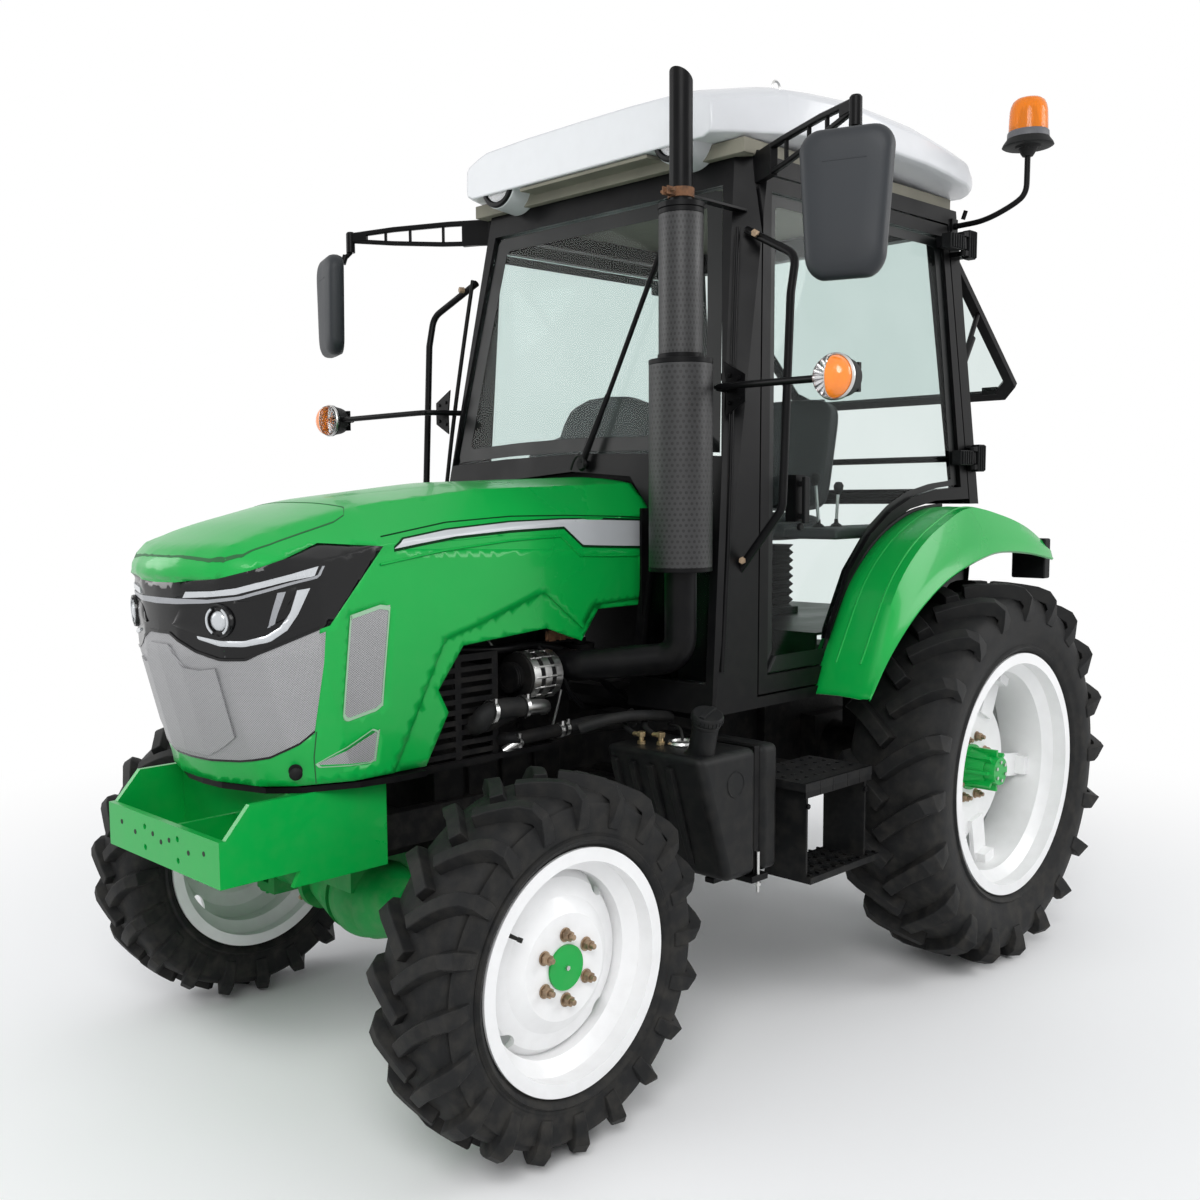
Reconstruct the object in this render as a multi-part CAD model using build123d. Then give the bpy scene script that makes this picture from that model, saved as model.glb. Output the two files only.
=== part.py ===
"""A compact four-wheel-drive farm tractor with a cab.

Millimetres. +X points forward, +Y to the driver's left, +Z up. The origin is on the ground,
under the middle of the machine's overall box. Each node is one STEP file in parts/, made of the
solids that the real piece has. Pieces of one body meet face to face.
"""
from build123d import *
import os
from math import cos, pi, radians, sin, sqrt

# ---------------------------------------------------------------- driving dimensions
WHEELBASE = 1840
FRONT_REACH = 590        # front axle to the face of the weight carrier
REAR_REACH = 820         # rear axle to the lower edge of the open rear window
F = (WHEELBASE + REAR_REACH - FRONT_REACH) / 2      # x of the front axle
R = F - WHEELBASE                                   # x of the rear axle

RUN = 0.3                # gap between pieces that turn against each other
CLEAR = 6                # gap where a moving piece passes a fixed one

# wheels
FRONT_TYRE_R, FRONT_TYRE_W, FRONT_LUG_H = 437, 222, 27
REAR_TYRE_R, REAR_TYRE_W, REAR_LUG_H = 605, 296, 34
FRONT_SEAT_R, FRONT_FLANGE_R, FRONT_RIM_HALF = 254, 278, 100
REAR_SEAT_R, REAR_FLANGE_R, REAR_RIM_HALF = 356, 381, 125
RIM_T = 7
WELL = 32                # depth of the rim's well below the bead seats
LUGS = 20                # on each side of a tyre
TYRE_SIDES = 30          # flats round a tyre's carcass
FRONT_TRACK = 1340
REAR_TRACK = 1530
FRONT_Z = FRONT_TYRE_R
REAR_Z = REAR_TYRE_R
FRONT_DISC_Y = 64        # face of the front disc outward from the tyre's middle
REAR_DISC_Y = -26        # face of the rear disc from the tyre's middle
DISC_T = 10
FRONT_NUTS, FRONT_NUT_CIRCLE = 6, 150
REAR_NUTS, REAR_NUT_CIRCLE = 8, 203
STUD_HOLE_R = 8.5
FRONT_HUB_INNER = -78    # inner end of the front hub from the tyre's middle
REAR_HUB_INNER = -150

# steering
KINGPIN_Y = FRONT_TRACK / 2 - 170      # kingpin axis from the middle of the tractor
KINGPIN_R = 16
STEER_ARM = 140          # kingpin to the tie rod's eye

# weight carrier
CARRIER_HALF = 268
CARRIER_LOW, CARRIER_TOP = 642, 818
CARRIER_T = 14
CARRIER_HOLE_X, CARRIER_HOLE_Z = 160, 50
CARRIER_HOLE_R = 7

# engine and drive line
ENGINE_HALF = 150
ENGINE_FRONT, ENGINE_REAR = F - 106, F - 600
GEARBOX_HALF = 140
GEARBOX_REAR_HALF = 170
GEARBOX_TOP = 860

# bonnet
BONNET_HALF = 312
BONNET_WALL = 12
BONNET_BOTTOM = 838
SKIN = 5                 # depth of the trim set into the bonnet's wall
HINGE_X, HINGE_Z = F - 690, 1496
HINGE_EYE_R = 12
BONNET_HINGE_Y, BONNET_PIN_R = 180, 8

# cab
FLOOR_Z, FLOOR_T = 905, 30
SILL_Z = FLOOR_Z + FLOOR_T
DECK_Z = 1080            # top of the deck under the seat
ROOF_Z = 2400            # top of the cab's frame
CAB_LOW_Y = 625          # half width at the floor
CAB_HIGH_Y = 570         # half width under the roof
CAB_FRONT_LOW, CAB_FRONT_HIGH = F - 663, F - 905
CAB_REAR_LOW, CAB_REAR_HIGH = R - 350, R - 145
CORNER_LOW, CORNER_HIGH = 620, 498      # half width of the windscreen's plane at the floor and the roof
POST_T = 45              # posts, through the cab's side
DOOR_T = 30
DOOR_RISE = 17           # gap under a door, over the fender that it swings across
GLASS_T = 6
GLASS_IN = 12            # the glass lies this far inside the cab's outer face
HEADER_Z = ROOF_Z - 48
DOOR_HINGE_Y = 616       # the door's hinge axis passes through two points on the rear post
HINGE_Z_LOW, HINGE_Z_HIGH = 1600, 2285
DOOR_HINGE_LOW, DOOR_HINGE_HIGH = R - 200, R - 105

# linkage at the rear
LINK_REACH = 765         # rear axle to the balls of the lower links
LINK_Z = 430
LINK_Y, LINK_END_Y = 200, 380
BALL_R = 11.05
DRAWBAR_Z, DRAWBAR_PIN_R = 395, 13
PTO_R = 17.4


# ---------------------------------------------------------------- shape helpers
def block(x0, x1, y0, y1, z0, z1):
    """Box between two corners."""
    centre = Pos((x0 + x1) / 2, (y0 + y1) / 2, (z0 + z1) / 2)
    return centre * Box(abs(x1 - x0), abs(y1 - y0), abs(z1 - z0))


def rod(p, q, r):
    """Round bar from p to q."""
    p, q = Vector(*p), Vector(*q)
    return Plane(origin=(p + q) / 2, z_dir=q - p) * Cylinder(r, (q - p).length)


def cone(p, q, r0, r1):
    """Round bar from p to q that changes from radius r0 to r1."""
    p, q = Vector(*p), Vector(*q)
    return Plane(origin=(p + q) / 2, z_dir=q - p) * Cone(r0, r1, (q - p).length)


def beam(p, q, width, depth):
    """Flat bar from p to q, width along Y and depth at right angles to it."""
    p, q = Vector(*p), Vector(*q)
    along = (q - p).normalized()
    across = Vector(0, 1, 0) - along * along.Y
    return Plane(origin=(p + q) / 2, x_dir=across, z_dir=along) * Box(width, depth, (q - p).length)


def tube(points, r, bend):
    """Round bar bent along points with bends of radius `bend`."""
    path = FilletPolyline(*points, radius=bend)
    return sweep(Plane(origin=path @ 0, z_dir=path % 0) * Circle(r), path=path)


def side_cut(points, y0, y1):
    """Outline of (x, z) points, as thick as y0 to y1."""
    face = make_face(Polyline(*points, close=True))
    return extrude(Plane.XZ.offset(-y1) * face, y1 - y0)


def plan_cut(points, z0, z1):
    """Outline of (x, y) points, as high as z0 to z1."""
    face = make_face(Polyline(*points, close=True))
    return extrude(Plane.XY.offset(z0) * face, z1 - z0)


def front_cut(points, x0, x1):
    """Outline of (y, z) points, as long as x0 to x1."""
    face = make_face(Polyline(*points, close=True))
    return extrude(Plane.YZ.offset(x0) * face, x1 - x0)


def about_y(points):
    """Solid turned about the Y axis from (radius, y) points."""
    return revolve(make_face(Polyline(*points, close=True)), Axis.Y)


def mirrored(shape):
    """The same piece on the right-hand side."""
    return mirror(shape, about=Plane.XZ)


def both(shape):
    """The piece and its mirror image, joined."""
    return shape + mirrored(shape)


def ring(count, radius, shape, start=0.0):
    """Copies of a shape made on the Y axis, spaced round it at a radius."""
    angles = [start + 2 * pi * i / count for i in range(count)]
    return [Pos(radius * cos(a), 0, radius * sin(a)) * shape for a in angles]


def from_front(points):
    """(x, z) points given ahead of the front axle."""
    return [(F + x, z) for x, z in points]


def from_rear(points):
    """(x, z) points given ahead of the rear axle."""
    return [(R + x, z) for x, z in points]


NODES = {}


def node(name, *shapes):
    """Keeps a finished piece, one or more solids, under its node's name."""
    solids = [solid for shape in shapes for solid in shape.solids()]
    NODES[name] = Compound(children=solids)


# ---------------------------------------------------------------- tyres
def flat_ring(sections):
    """Form with flat sides round the Y axis, through (radius, y) sections; the radius is to the flats."""
    faces = [Plane.XZ.offset(-y) * RegularPolygon(r, TYRE_SIDES, major_radius=False) for r, y in sections]
    return loft(faces, ruled=True)


def tyre(tyre_r, width, lug_h, seat_r, flange_r, rim_half):
    """Tyre with a tread of angled bars, each running from the middle of the tread over the shoulder."""
    half = width / 2
    base_r = tyre_r - lug_h
    belly_r = seat_r + 0.5 * (tyre_r - seat_r)
    carcass = flat_ring([(belly_r, -half), (base_r - 12, -0.86 * half), (base_r - 3, 0),
                         (base_r - 12, 0.86 * half), (belly_r, half)])
    for side in (-1, 1):
        bead = [(flange_r + 4, side * (rim_half + RIM_T)), (belly_r - 6, side * (half + 0.1))]
        carcass -= flat_ring(bead if side > 0 else bead[::-1])
        collar = [(flange_r + 4, side * rim_half), (flange_r + 4, side * (rim_half + RIM_T + 0.1))]
        carcass -= flat_ring(collar if side > 0 else collar[::-1])
    carcass -= Rot(90, 0, 0) * Cylinder(seat_r, width)
    lean = radians(40)
    length = half / cos(lean)
    thick = 0.13 * 2 * pi * tyre_r / LUGS + 14
    lead = length * sin(lean) / 2
    profile = []
    for share, below in ((-0.04, 4), (0.5, 2), (0.86, 10), (1.0, 30)):
        x = lead - share * length * sin(lean)
        profile.append((share * length, sqrt((tyre_r - below) ** 2 - x * x)))
    profile += [(0.995 * length, belly_r + 22), (0.8 * length, belly_r + 30), (-0.04 * length, base_r - 20)]
    along = Vector(-sin(lean), cos(lean), 0)
    plane = Plane(origin=(lead, 0, 0), x_dir=along, z_dir=Vector(cos(lean), sin(lean), 0))
    bar = extrude(plane * make_face(Polyline(*profile, close=True)), thick / 2, both=True)
    bars = []
    for i in range(LUGS):
        bars.append(Rot(0, 360 / LUGS * i, 0) * bar)
        bars.append(Rot(0, 360 / LUGS * (i + 0.5), 0) * mirrored(bar))
    return carcass.fuse(*bars)


# ---------------------------------------------------------------- rims and hubs
def rim(seat_r, flange_r, rim_half):
    """Drop-centre rim: two flanges, two bead seats and the well between them, all of one thickness."""
    well_r = seat_r - WELL
    outside = [(flange_r, -rim_half), (seat_r, -rim_half), (seat_r, -rim_half + 26), (well_r, -rim_half + 48),
               (well_r, rim_half - 64), (seat_r, rim_half - 38), (seat_r, rim_half), (flange_r, rim_half)]
    inside = [(flange_r, rim_half + RIM_T), (seat_r - RIM_T, rim_half + RIM_T), (seat_r - RIM_T, rim_half - 35),
              (well_r - RIM_T, rim_half - 60), (well_r - RIM_T, -rim_half + 44), (seat_r - RIM_T, -rim_half + 23),
              (seat_r - RIM_T, -rim_half - RIM_T), (flange_r, -rim_half - RIM_T)]
    return about_y(outside + inside)


def front_wheel_metal():
    """Rim with a dished disc whose crown faces outwards, open at its edge in four slots."""
    well_r = FRONT_SEAT_R - WELL - RIM_T + 1
    y = FRONT_DISC_Y
    disc = about_y([
        (52, y - DISC_T), (118, y - DISC_T), (150, y - 34), (well_r - 28, y - 48), (well_r, y - 76),
        (well_r, y - 62), (well_r - 20, y - 38), (156, y - 24), (122, y), (52, y)])
    for slot in ring(4, well_r - 4, Pos(0, y - 60, 0) * Rot(90, 0, 0) * Cylinder(26, 120), radians(45)):
        disc -= slot
    stud = Pos(0, y, 0) * Rot(90, 0, 0) * Cylinder(STUD_HOLE_R, 60)
    for hole in ring(FRONT_NUTS, FRONT_NUT_CIRCLE / 2, stud, radians(90)):
        disc -= hole
    return rim(FRONT_SEAT_R, FRONT_FLANGE_R, FRONT_RIM_HALF) + disc


def rear_wheel_metal():
    """Rim with a flat disc on five lugs that are welded inside the rim."""
    well_r = REAR_SEAT_R - WELL - RIM_T + 1
    y = REAR_DISC_Y
    disc_r = 215
    disc = about_y([(74, y - 12), (disc_r, y - 12), (disc_r, y), (74, y)])
    stud = Pos(0, y, 0) * Rot(90, 0, 0) * Cylinder(STUD_HOLE_R, 60)
    for hole in ring(REAR_NUTS, REAR_NUT_CIRCLE / 2, stud, radians(22.5)):
        disc -= hole
    metal = rim(REAR_SEAT_R, REAR_FLANGE_R, REAR_RIM_HALF) + disc
    for i in range(5):
        lug = block(disc_r - 40, well_r + 3, y, y + 14, -38, 38)
        lug += block(well_r - 30, well_r + 3, y, y + 46, -30, 30)
        metal += Rot(0, 72 * i - 43, 0) * lug
    return metal


def wheel_hub(bore_r, disc_y, cap_y, drum_y, drum_r):
    """Hub with a drum inboard, a flange behind the disc and a spigot through it."""
    back = disc_y - DISC_T
    return about_y([(0, drum_y), (drum_r, drum_y), (drum_r, back - 12), (105, back - 12),
                    (105, back), (bore_r, back), (bore_r, cap_y), (0, cap_y)])


front_tyre = tyre(FRONT_TYRE_R, FRONT_TYRE_W, FRONT_LUG_H, FRONT_SEAT_R, FRONT_FLANGE_R, FRONT_RIM_HALF)
rear_tyre = tyre(REAR_TYRE_R, REAR_TYRE_W, REAR_LUG_H, REAR_SEAT_R, REAR_FLANGE_R, REAR_RIM_HALF)
front_hub = wheel_hub(51.5, FRONT_DISC_Y, FRONT_DISC_Y + 6, FRONT_HUB_INNER, 88)
REAR_CAP_Y = REAR_DISC_Y + 8
rear_hub = wheel_hub(73.5, REAR_DISC_Y - 2, REAR_CAP_Y, REAR_HUB_INNER, 82)
rear_hub += about_y([(0, REAR_CAP_Y), (62, REAR_CAP_Y), (50, REAR_CAP_Y + 62), (44, REAR_CAP_Y + 62),
                     (44, REAR_CAP_Y + 96), (0, REAR_CAP_Y + 96)])
for k in range(8):
    rib = block(30, 66, REAR_CAP_Y, REAR_CAP_Y + 84, -5, 5)
    rear_hub += Rot(0, 45 * k, 0) * rib

WHEELS = [  # axle, x, track, axle height, tyre, metal, hub
    ("front", F, FRONT_TRACK, FRONT_Z, front_tyre, front_wheel_metal(), front_hub),
    ("rear", R, REAR_TRACK, REAR_Z, rear_tyre, rear_wheel_metal(), rear_hub),
]
for axle, x, track, z, rubber, metal, hub in WHEELS:
    for piece, shape in (("tyre", rubber), ("rim", metal), ("hub", hub)):
        placed = Pos(x, track / 2, z) * shape
        node(f"{axle}_{piece}_left", placed)
        node(f"{axle}_{piece}_right", mirrored(placed))

# ---------------------------------------------------------------- front axle, knuckles, tie rod
AXLE_Z = FRONT_Z
FORK_Y = KINGPIN_Y - 62
FORK_GAP = 60            # half the height between the fork's arms
FORK_T = 24
axle_half = rod((F, 0, AXLE_Z), (F, FORK_Y - 30, AXLE_Z), 52)
axle_half += cone((F, 60, AXLE_Z), (F, 210, AXLE_Z), 104, 58)
axle_half += rod((F, 205, AXLE_Z), (F, 225, AXLE_Z), 84)
fork = block(F - 46, F + 46, FORK_Y - 30, FORK_Y, AXLE_Z - FORK_GAP - FORK_T, AXLE_Z + FORK_GAP + FORK_T)
for end in (-1, 1):
    z0, z1 = sorted((AXLE_Z + end * FORK_GAP, AXLE_Z + end * (FORK_GAP + FORK_T)))
    fork += block(F - 40, F + 40, FORK_Y, KINGPIN_Y, z0, z1)
    fork += rod((F, KINGPIN_Y, z0), (F, KINGPIN_Y, z1), 40)
fork -= rod((F, KINGPIN_Y, AXLE_Z - 100), (F, KINGPIN_Y, AXLE_Z + 100), KINGPIN_R + 0.05)
axle = both(axle_half + fork)
axle += Pos(F, 0, AXLE_Z) * Sphere(112)
PIVOT_TOP = AXLE_Z + 112
axle += block(F - 105, F + 105, -60, 60, AXLE_Z + 40, PIVOT_TOP)
node("front_axle", axle)

HUB_IN_Y = FRONT_TRACK / 2 + FRONT_HUB_INNER
knuckle = rod((F, KINGPIN_Y, AXLE_Z - 98), (F, KINGPIN_Y, AXLE_Z + 98), KINGPIN_R)
knuckle += rod((F, KINGPIN_Y, AXLE_Z - FORK_GAP + CLEAR), (F, KINGPIN_Y, AXLE_Z + FORK_GAP - CLEAR), 42)
knuckle += cone((F, KINGPIN_Y, AXLE_Z), (F, HUB_IN_Y - RUN, AXLE_Z), 36, 52)
STEER_Z = 10             # half the steering arm's thickness
steer_arm = block(F - STEER_ARM, F, KINGPIN_Y - 18, KINGPIN_Y + 18, AXLE_Z - STEER_Z, AXLE_Z + STEER_Z)
steer_arm += rod((F - STEER_ARM, KINGPIN_Y, AXLE_Z - STEER_Z),
                 (F - STEER_ARM, KINGPIN_Y, AXLE_Z + STEER_Z), 24)
knuckle += steer_arm
node("knuckle_left", knuckle)
node("knuckle_right", mirrored(knuckle))

EYE_T = 24
ROD_Z = AXLE_Z - STEER_Z - RUN - EYE_T / 2
tie_x = F - STEER_ARM
tie = rod((tie_x, -KINGPIN_Y, ROD_Z), (tie_x, KINGPIN_Y, ROD_Z), 11)
eye = rod((tie_x, KINGPIN_Y, ROD_Z - EYE_T / 2), (tie_x, KINGPIN_Y, ROD_Z + EYE_T / 2), 26)
node("tie_rod", tie + both(eye))

# ---------------------------------------------------------------- weight carrier and front support
FACE_T = 16
FRAME_REAR = F + 140
face_x = F + FRONT_REACH - FACE_T
LIP_Z = CARRIER_LOW + 106
wall = side_cut([(face_x, CARRIER_LOW), (face_x, LIP_Z), (F + 512, CARRIER_TOP), (FRAME_REAR, CARRIER_TOP),
                 (FRAME_REAR, CARRIER_LOW - 36), (F + 405, CARRIER_LOW - 36), (F + 385, CARRIER_LOW)],
                CARRIER_HALF - CARRIER_T, CARRIER_HALF)
carrier = both(wall)
plate = block(face_x, F + FRONT_REACH, -CARRIER_HALF, CARRIER_HALF, CARRIER_LOW, LIP_Z)
hole_z = CARRIER_LOW + 53
for y in (-CARRIER_HOLE_X / 2, CARRIER_HOLE_X / 2):
    for z in (hole_z - CARRIER_HOLE_Z / 2, hole_z + CARRIER_HOLE_Z / 2):
        plate -= rod((F, y, z), (F + 2 * FRONT_REACH, y, z), CARRIER_HOLE_R)
carrier += plate
inner = CARRIER_HALF - CARRIER_T
carrier += block(F + 380, face_x, -inner, inner, CARRIER_LOW, CARRIER_LOW + 12)
carrier += block(F + 396, face_x, -6, 6, CARRIER_LOW + 12, CARRIER_LOW + 90)
carrier += block(F + 380, F + 396, -inner, inner, CARRIER_LOW, CARRIER_TOP)
carrier += block(FRAME_REAR, FRAME_REAR + 20, -inner, inner, CARRIER_LOW - 36, CARRIER_TOP)
node("weight_carrier", carrier)

RAIL_Z0, RAIL_Z1 = 610, 700
support = both(block(ENGINE_REAR, FRAME_REAR, ENGINE_HALF, ENGINE_HALF + 40, RAIL_Z0, RAIL_Z1))
support += block(F - 105, F + 105, -ENGINE_HALF, ENGINE_HALF, RAIL_Z0, RAIL_Z0 + 40)
support += side_cut([(F - 105, PIVOT_TOP), (F + 105, PIVOT_TOP), (F + 80, RAIL_Z0), (F - 80, RAIL_Z0)],
                    -60, 60)
node("front_support", support)

# ---------------------------------------------------------------- engine, radiator and drive line
engine = block(ENGINE_REAR, ENGINE_FRONT, -ENGINE_HALF, ENGINE_HALF, 560, 1130)
engine += block(ENGINE_REAR + 40, ENGINE_FRONT - 40, -100, 100, 1130, 1240)
engine += block(ENGINE_REAR + 60, ENGINE_FRONT - 60, -110, 110, 500, 560)
engine += rod((ENGINE_FRONT, 0, 900), (ENGINE_FRONT + 50, 0, 900), 90)
node("engine_block", engine)

# fittings on the engine's sides, left open to view by the bonnet: x ahead of the front axle
LOUVRE_Y = 243
SHROUD_HALF = 215
screen = block(F - 240, F + 30, LOUVRE_Y, LOUVRE_Y + 7, 800, 1090)
for x in (F - 220, F - 95):
    for k in range(10):
        screen -= block(x, x + 105, LOUVRE_Y - 1, LOUVRE_Y + 8, 815 + 27 * k, 829 + 27 * k)
for z in (830, 1060):
    for x, inner in ((F - 238, ENGINE_HALF), (F + 14, SHROUD_HALF)):
        screen += block(x, x + 12, inner, LOUVRE_Y, z - 10, z + 10)
alternator = rod((F - 440, 228, 1010), (F - 322, 228, 1010), 64)
alternator += block(F - 420, F - 342, ENGINE_HALF, 228, 990, 1030)
alternator += rod((F - 322, 228, 1010), (F - 296, 228, 1010), 38)
filter_can = rod((F - 592, 200, 985), (F - 592, 200, 1075), 44)
filter_can += rod((F - 592, ENGINE_HALF, 1030), (F - 592, 170, 1030), 22)
filter_can += rod((F - 592, 200, 1075), (F - 592, 200, 1092), 20)
manifold = block(F - 570, F - 440, ENGINE_HALF, 222, 1086, 1130)
hose = tube([(F - 160, ENGINE_HALF, 905), (F - 160, 262, 905), (F - 300, 262, 930),
             (F - 300, ENGINE_HALF, 930)], 26, 34)
pipe = tube([(F - 250, ENGINE_HALF, 856), (F - 250, 285, 856), (F - 430, 285, 860), (F - 740, 285, 840),
             (F - 740, GEARBOX_HALF, 840)], 18, 40)
node("engine_fittings", screen, mirrored(screen), alternator, filter_can, manifold, hose, pipe)

RAD_X0, RAD_X1 = F + 70, F + 190
radiator = block(RAD_X0, RAD_X1, -230, 230, CARRIER_TOP, 1290)
radiator += block(F - 30, RAD_X0, -SHROUD_HALF, SHROUD_HALF, CARRIER_TOP, 1260)
radiator += block(RAD_X0 + 30, RAD_X1 - 30, -120, 120, 1290, 1320)
node("radiator", radiator)

gearbox = side_cut([(ENGINE_REAR, 560), (ENGINE_REAR, GEARBOX_TOP), (R + 330, GEARBOX_TOP), (R + 330, 560)],
                   -GEARBOX_HALF, GEARBOX_HALF)
gearbox += side_cut([(R + 330, 480), (R + 330, GEARBOX_TOP), (R - 180, GEARBOX_TOP), (R - 210, 700),
                     (R - 200, 480)], -GEARBOX_REAR_HALF, GEARBOX_REAR_HALF)
gearbox += block(R - 180, R + 150, -130, 130, GEARBOX_TOP, 950)
node("gearbox", gearbox)

# arms from the gearbox's sides that carry the tank, the battery box and the steps: x, reach
BEAM_Z0, BEAM_Z1 = 640, 700
BEAMS = [(F - 735, 420), (F - 640, 420), (F - 854, 600), (F - 1136, 600)]
arms = [block(x - 20, x + 20, GEARBOX_HALF, reach, BEAM_Z0, BEAM_Z1) for x, reach in BEAMS]
node("side_beams", *arms, *[mirrored(arm) for arm in arms])

HOUSING_R = 92
HOUSING_END = REAR_TRACK / 2 + REAR_HUB_INNER - RUN
housing = rod((R, GEARBOX_REAR_HALF, REAR_Z), (R, HOUSING_END, REAR_Z), HOUSING_R)
housing += block(R - 120, R + 120, GEARBOX_REAR_HALF, GEARBOX_REAR_HALF + 60, REAR_Z - 120, REAR_Z + 120)
node("rear_axle", housing, mirrored(housing))

# ---------------------------------------------------------------- bonnet
# cross-sections: x ahead of the front axle, crown, shoulder, its half width, top of the side
BONNET_SECTIONS = [
    (640, 1350, 1340, 200, 1290),
    (400, 1436, 1420, 205, 1338),
    (180, 1489, 1470, 212, 1379),
    (-200, 1528, 1508, 222, 1408),
    (-830, 1545, 1524, 234, 1440),
]
# half outline of the nose in plan, and how far it stands back at each height above the bonnet's bottom
NOSE_PLAN = [(580, 0), (574, 80), (532, 205), (472, 262), (345, 314), (250, 330)]
NOSE_LEVELS = [(-12, -90), (303, -8), (403, -3), (470, -2), (478, 8), (500, 8), (545, -18), (860, -60)]


def nose_outline(back, inset):
    """Outline of the nose in plan, drawn in by inset."""
    points = [(F + x + back - inset, y - inset * y / 330) for x, y in NOSE_PLAN] + [(F - 900, 330)]
    return points + [(x, -y) for x, y in reversed(points[1:])]


def bonnet_form(inset):
    """The bonnet's full outer form, or the same form drawn in by its wall everywhere but at the bottom."""
    half = BONNET_HALF - inset
    sections = []
    for ahead, crown, shoulder, shoulder_half, side_top in BONNET_SECTIONS:
        edge, high, low = shoulder_half - inset * 0.4, shoulder - inset, side_top - inset * 0.6
        outline = Polyline((-edge, high), (-half, low), (-half, BONNET_BOTTOM), (half, BONNET_BOTTOM),
                           (half, low), (edge, high))
        top = ThreePointArc((edge, high), (0, crown - inset), (-edge, high))
        sections.append(Plane.YZ.offset(F + ahead) * make_face(outline + top))
    form = loft(sections, ruled=True)
    side = [(-815, BONNET_BOTTOM), (-800, 1160), (-786, 1470), (-745, 1700), (700, 1700), (700, BONNET_BOTTOM)]
    form &= side_cut(from_front(side), -400, 400)
    levels = [Plane.XY.offset(BONNET_BOTTOM + rise) * make_face(Polyline(*nose_outline(back, inset), close=True))
              for rise, back in NOSE_LEVELS]
    return form & loft(levels, ruled=True)


bonnet_outer = bonnet_form(0)
bonnet_inner = bonnet_form(BONNET_WALL)
bonnet_inner += Pos(-100, 0, 0) * bonnet_inner
shell = bonnet_outer - bonnet_inner - Pos(0, 0, -30) * bonnet_inner
# each side panel's lower edge climbs behind the front axle and leaves the engine open
SIDE_OPENING = [(46, 800), (46, BONNET_BOTTOM), (-27, 960), (4, 1019), (-78, 1122), (-364, 1142),
                (-495, 1098), (-562, 1180), (-900, 1180), (-900, 800)]
# a shallow step in the panel runs beside that edge
SIDE_STEP = [(-900, 800), (146, 800), (146, BONNET_BOTTOM), (-18, 1143), (-128, 1171), (-354, 1238), (-495, 1132),
             (-545, 1195), (-900, 1205)]
STEP_DEPTH = 6
step_zone = side_cut(from_front(SIDE_STEP), -400, 400)
shell -= step_zone - bonnet_form(STEP_DEPTH) - block(F - 900, F + 200, -BONNET_HALF + 40, BONNET_HALF - 40, 800, 1300)
shell -= side_cut(from_front(SIDE_OPENING), -400, 400)
# trim set into the bonnet's wall: outlines seen from the side and from the front
SIDE_VENT = [(263, 1222), (149, 1239), (176, 1003), (287, 982)]
LOW_VENT = [(350, 884), (186, 949), (200, 875)]
STRIPE = [(117, 1368), (117, 1374), (-200, 1388), (-900, 1378), (-900, 1330), (-200, 1356)]
LAMP_BAND = [(700, 1262), (318, 1388), (165, 1376), (318, 1203), (550, 1150), (700, 1150)]
SCREEN_BAND = [(700, 1142), (545, 1142), (330, 1190), (352, 958), (470, 905), (700, 905)]
LAMP_Y, LAMP_Z, LAMP_R = 195, 1222, 38
LIGHT_BAR = [(50, 1262), (150, 1288), (260, 1290), (296, 1262), (150, 1270)]
LIGHT_STRIP = [(70, 1172), (70, 1184), (180, 1178), (262, 1200), (300, 1240), (300, 1218), (262, 1184), (180, 1164)]
skin_inner = bonnet_form(SKIN)
skin = bonnet_outer - skin_inner - Pos(-100, 0, 0) * skin_inner
vents = side_cut(from_front(SIDE_VENT), -400, 400) + side_cut(from_front(LOW_VENT), -400, 400)
screens = skin & (vents + side_cut(from_front(SCREEN_BAND), -400, 400))
band = skin & side_cut(from_front(LAMP_BAND), -400, 400)
lamps = rod((F + 400, LAMP_Y, LAMP_Z), (F + 650, LAMP_Y, LAMP_Z), LAMP_R)
lamps += front_cut(LIGHT_BAR, F + 400, F + 650) + front_cut(LIGHT_STRIP, F + 400, F + 650)
headlamps = band & both(lamps)
stripes = (skin & side_cut(from_front(STRIPE), -400, 400)) - block(F - 900, F + 200, -280, 280, 1300, 1600)
node("headlamps", headlamps)
node("lamp_band", band - headlamps)
node("bonnet_screens", screens)
node("bonnet_stripes", stripes)
shell -= band + screens + stripes
# two hinge barrels hang under the bonnet's rear end
for y in (BONNET_HINGE_Y, -BONNET_HINGE_Y):
    barrel = rod((HINGE_X, y - 15, HINGE_Z), (HINGE_X, y + 15, HINGE_Z), HINGE_EYE_R)
    hanger = block(HINGE_X - HINGE_EYE_R, HINGE_X + HINGE_EYE_R, y - 15, y + 15, HINGE_Z, HINGE_Z + 60)
    shell += barrel + (hanger & bonnet_outer)
    shell -= rod((HINGE_X, y - 40, HINGE_Z), (HINGE_X, y + 40, HINGE_Z), BONNET_PIN_R + 0.05)
node("bonnet_shell", shell)

# frame under the closed bonnet's edge, with a bar that runs back beside the engine
rest = plan_cut(nose_outline(-96, 6), BONNET_BOTTOM - 20, BONNET_BOTTOM - CLEAR)
rest -= plan_cut(nose_outline(-96, 60), BONNET_BOTTOM - 30, BONNET_BOTTOM)
rest -= block(F - 1000, F + 60, -400, 400, 700, 900)
rest += both(block(F - 430, F + 60, 285, 300, BONNET_BOTTOM - 20, BONNET_BOTTOM - CLEAR))
rest += both(block(F - 430, F - 410, ENGINE_HALF, 300, BONNET_BOTTOM - 20, BONNET_BOTTOM - CLEAR))
node("bonnet_rest", rest)

# ---------------------------------------------------------------- cab form


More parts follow.
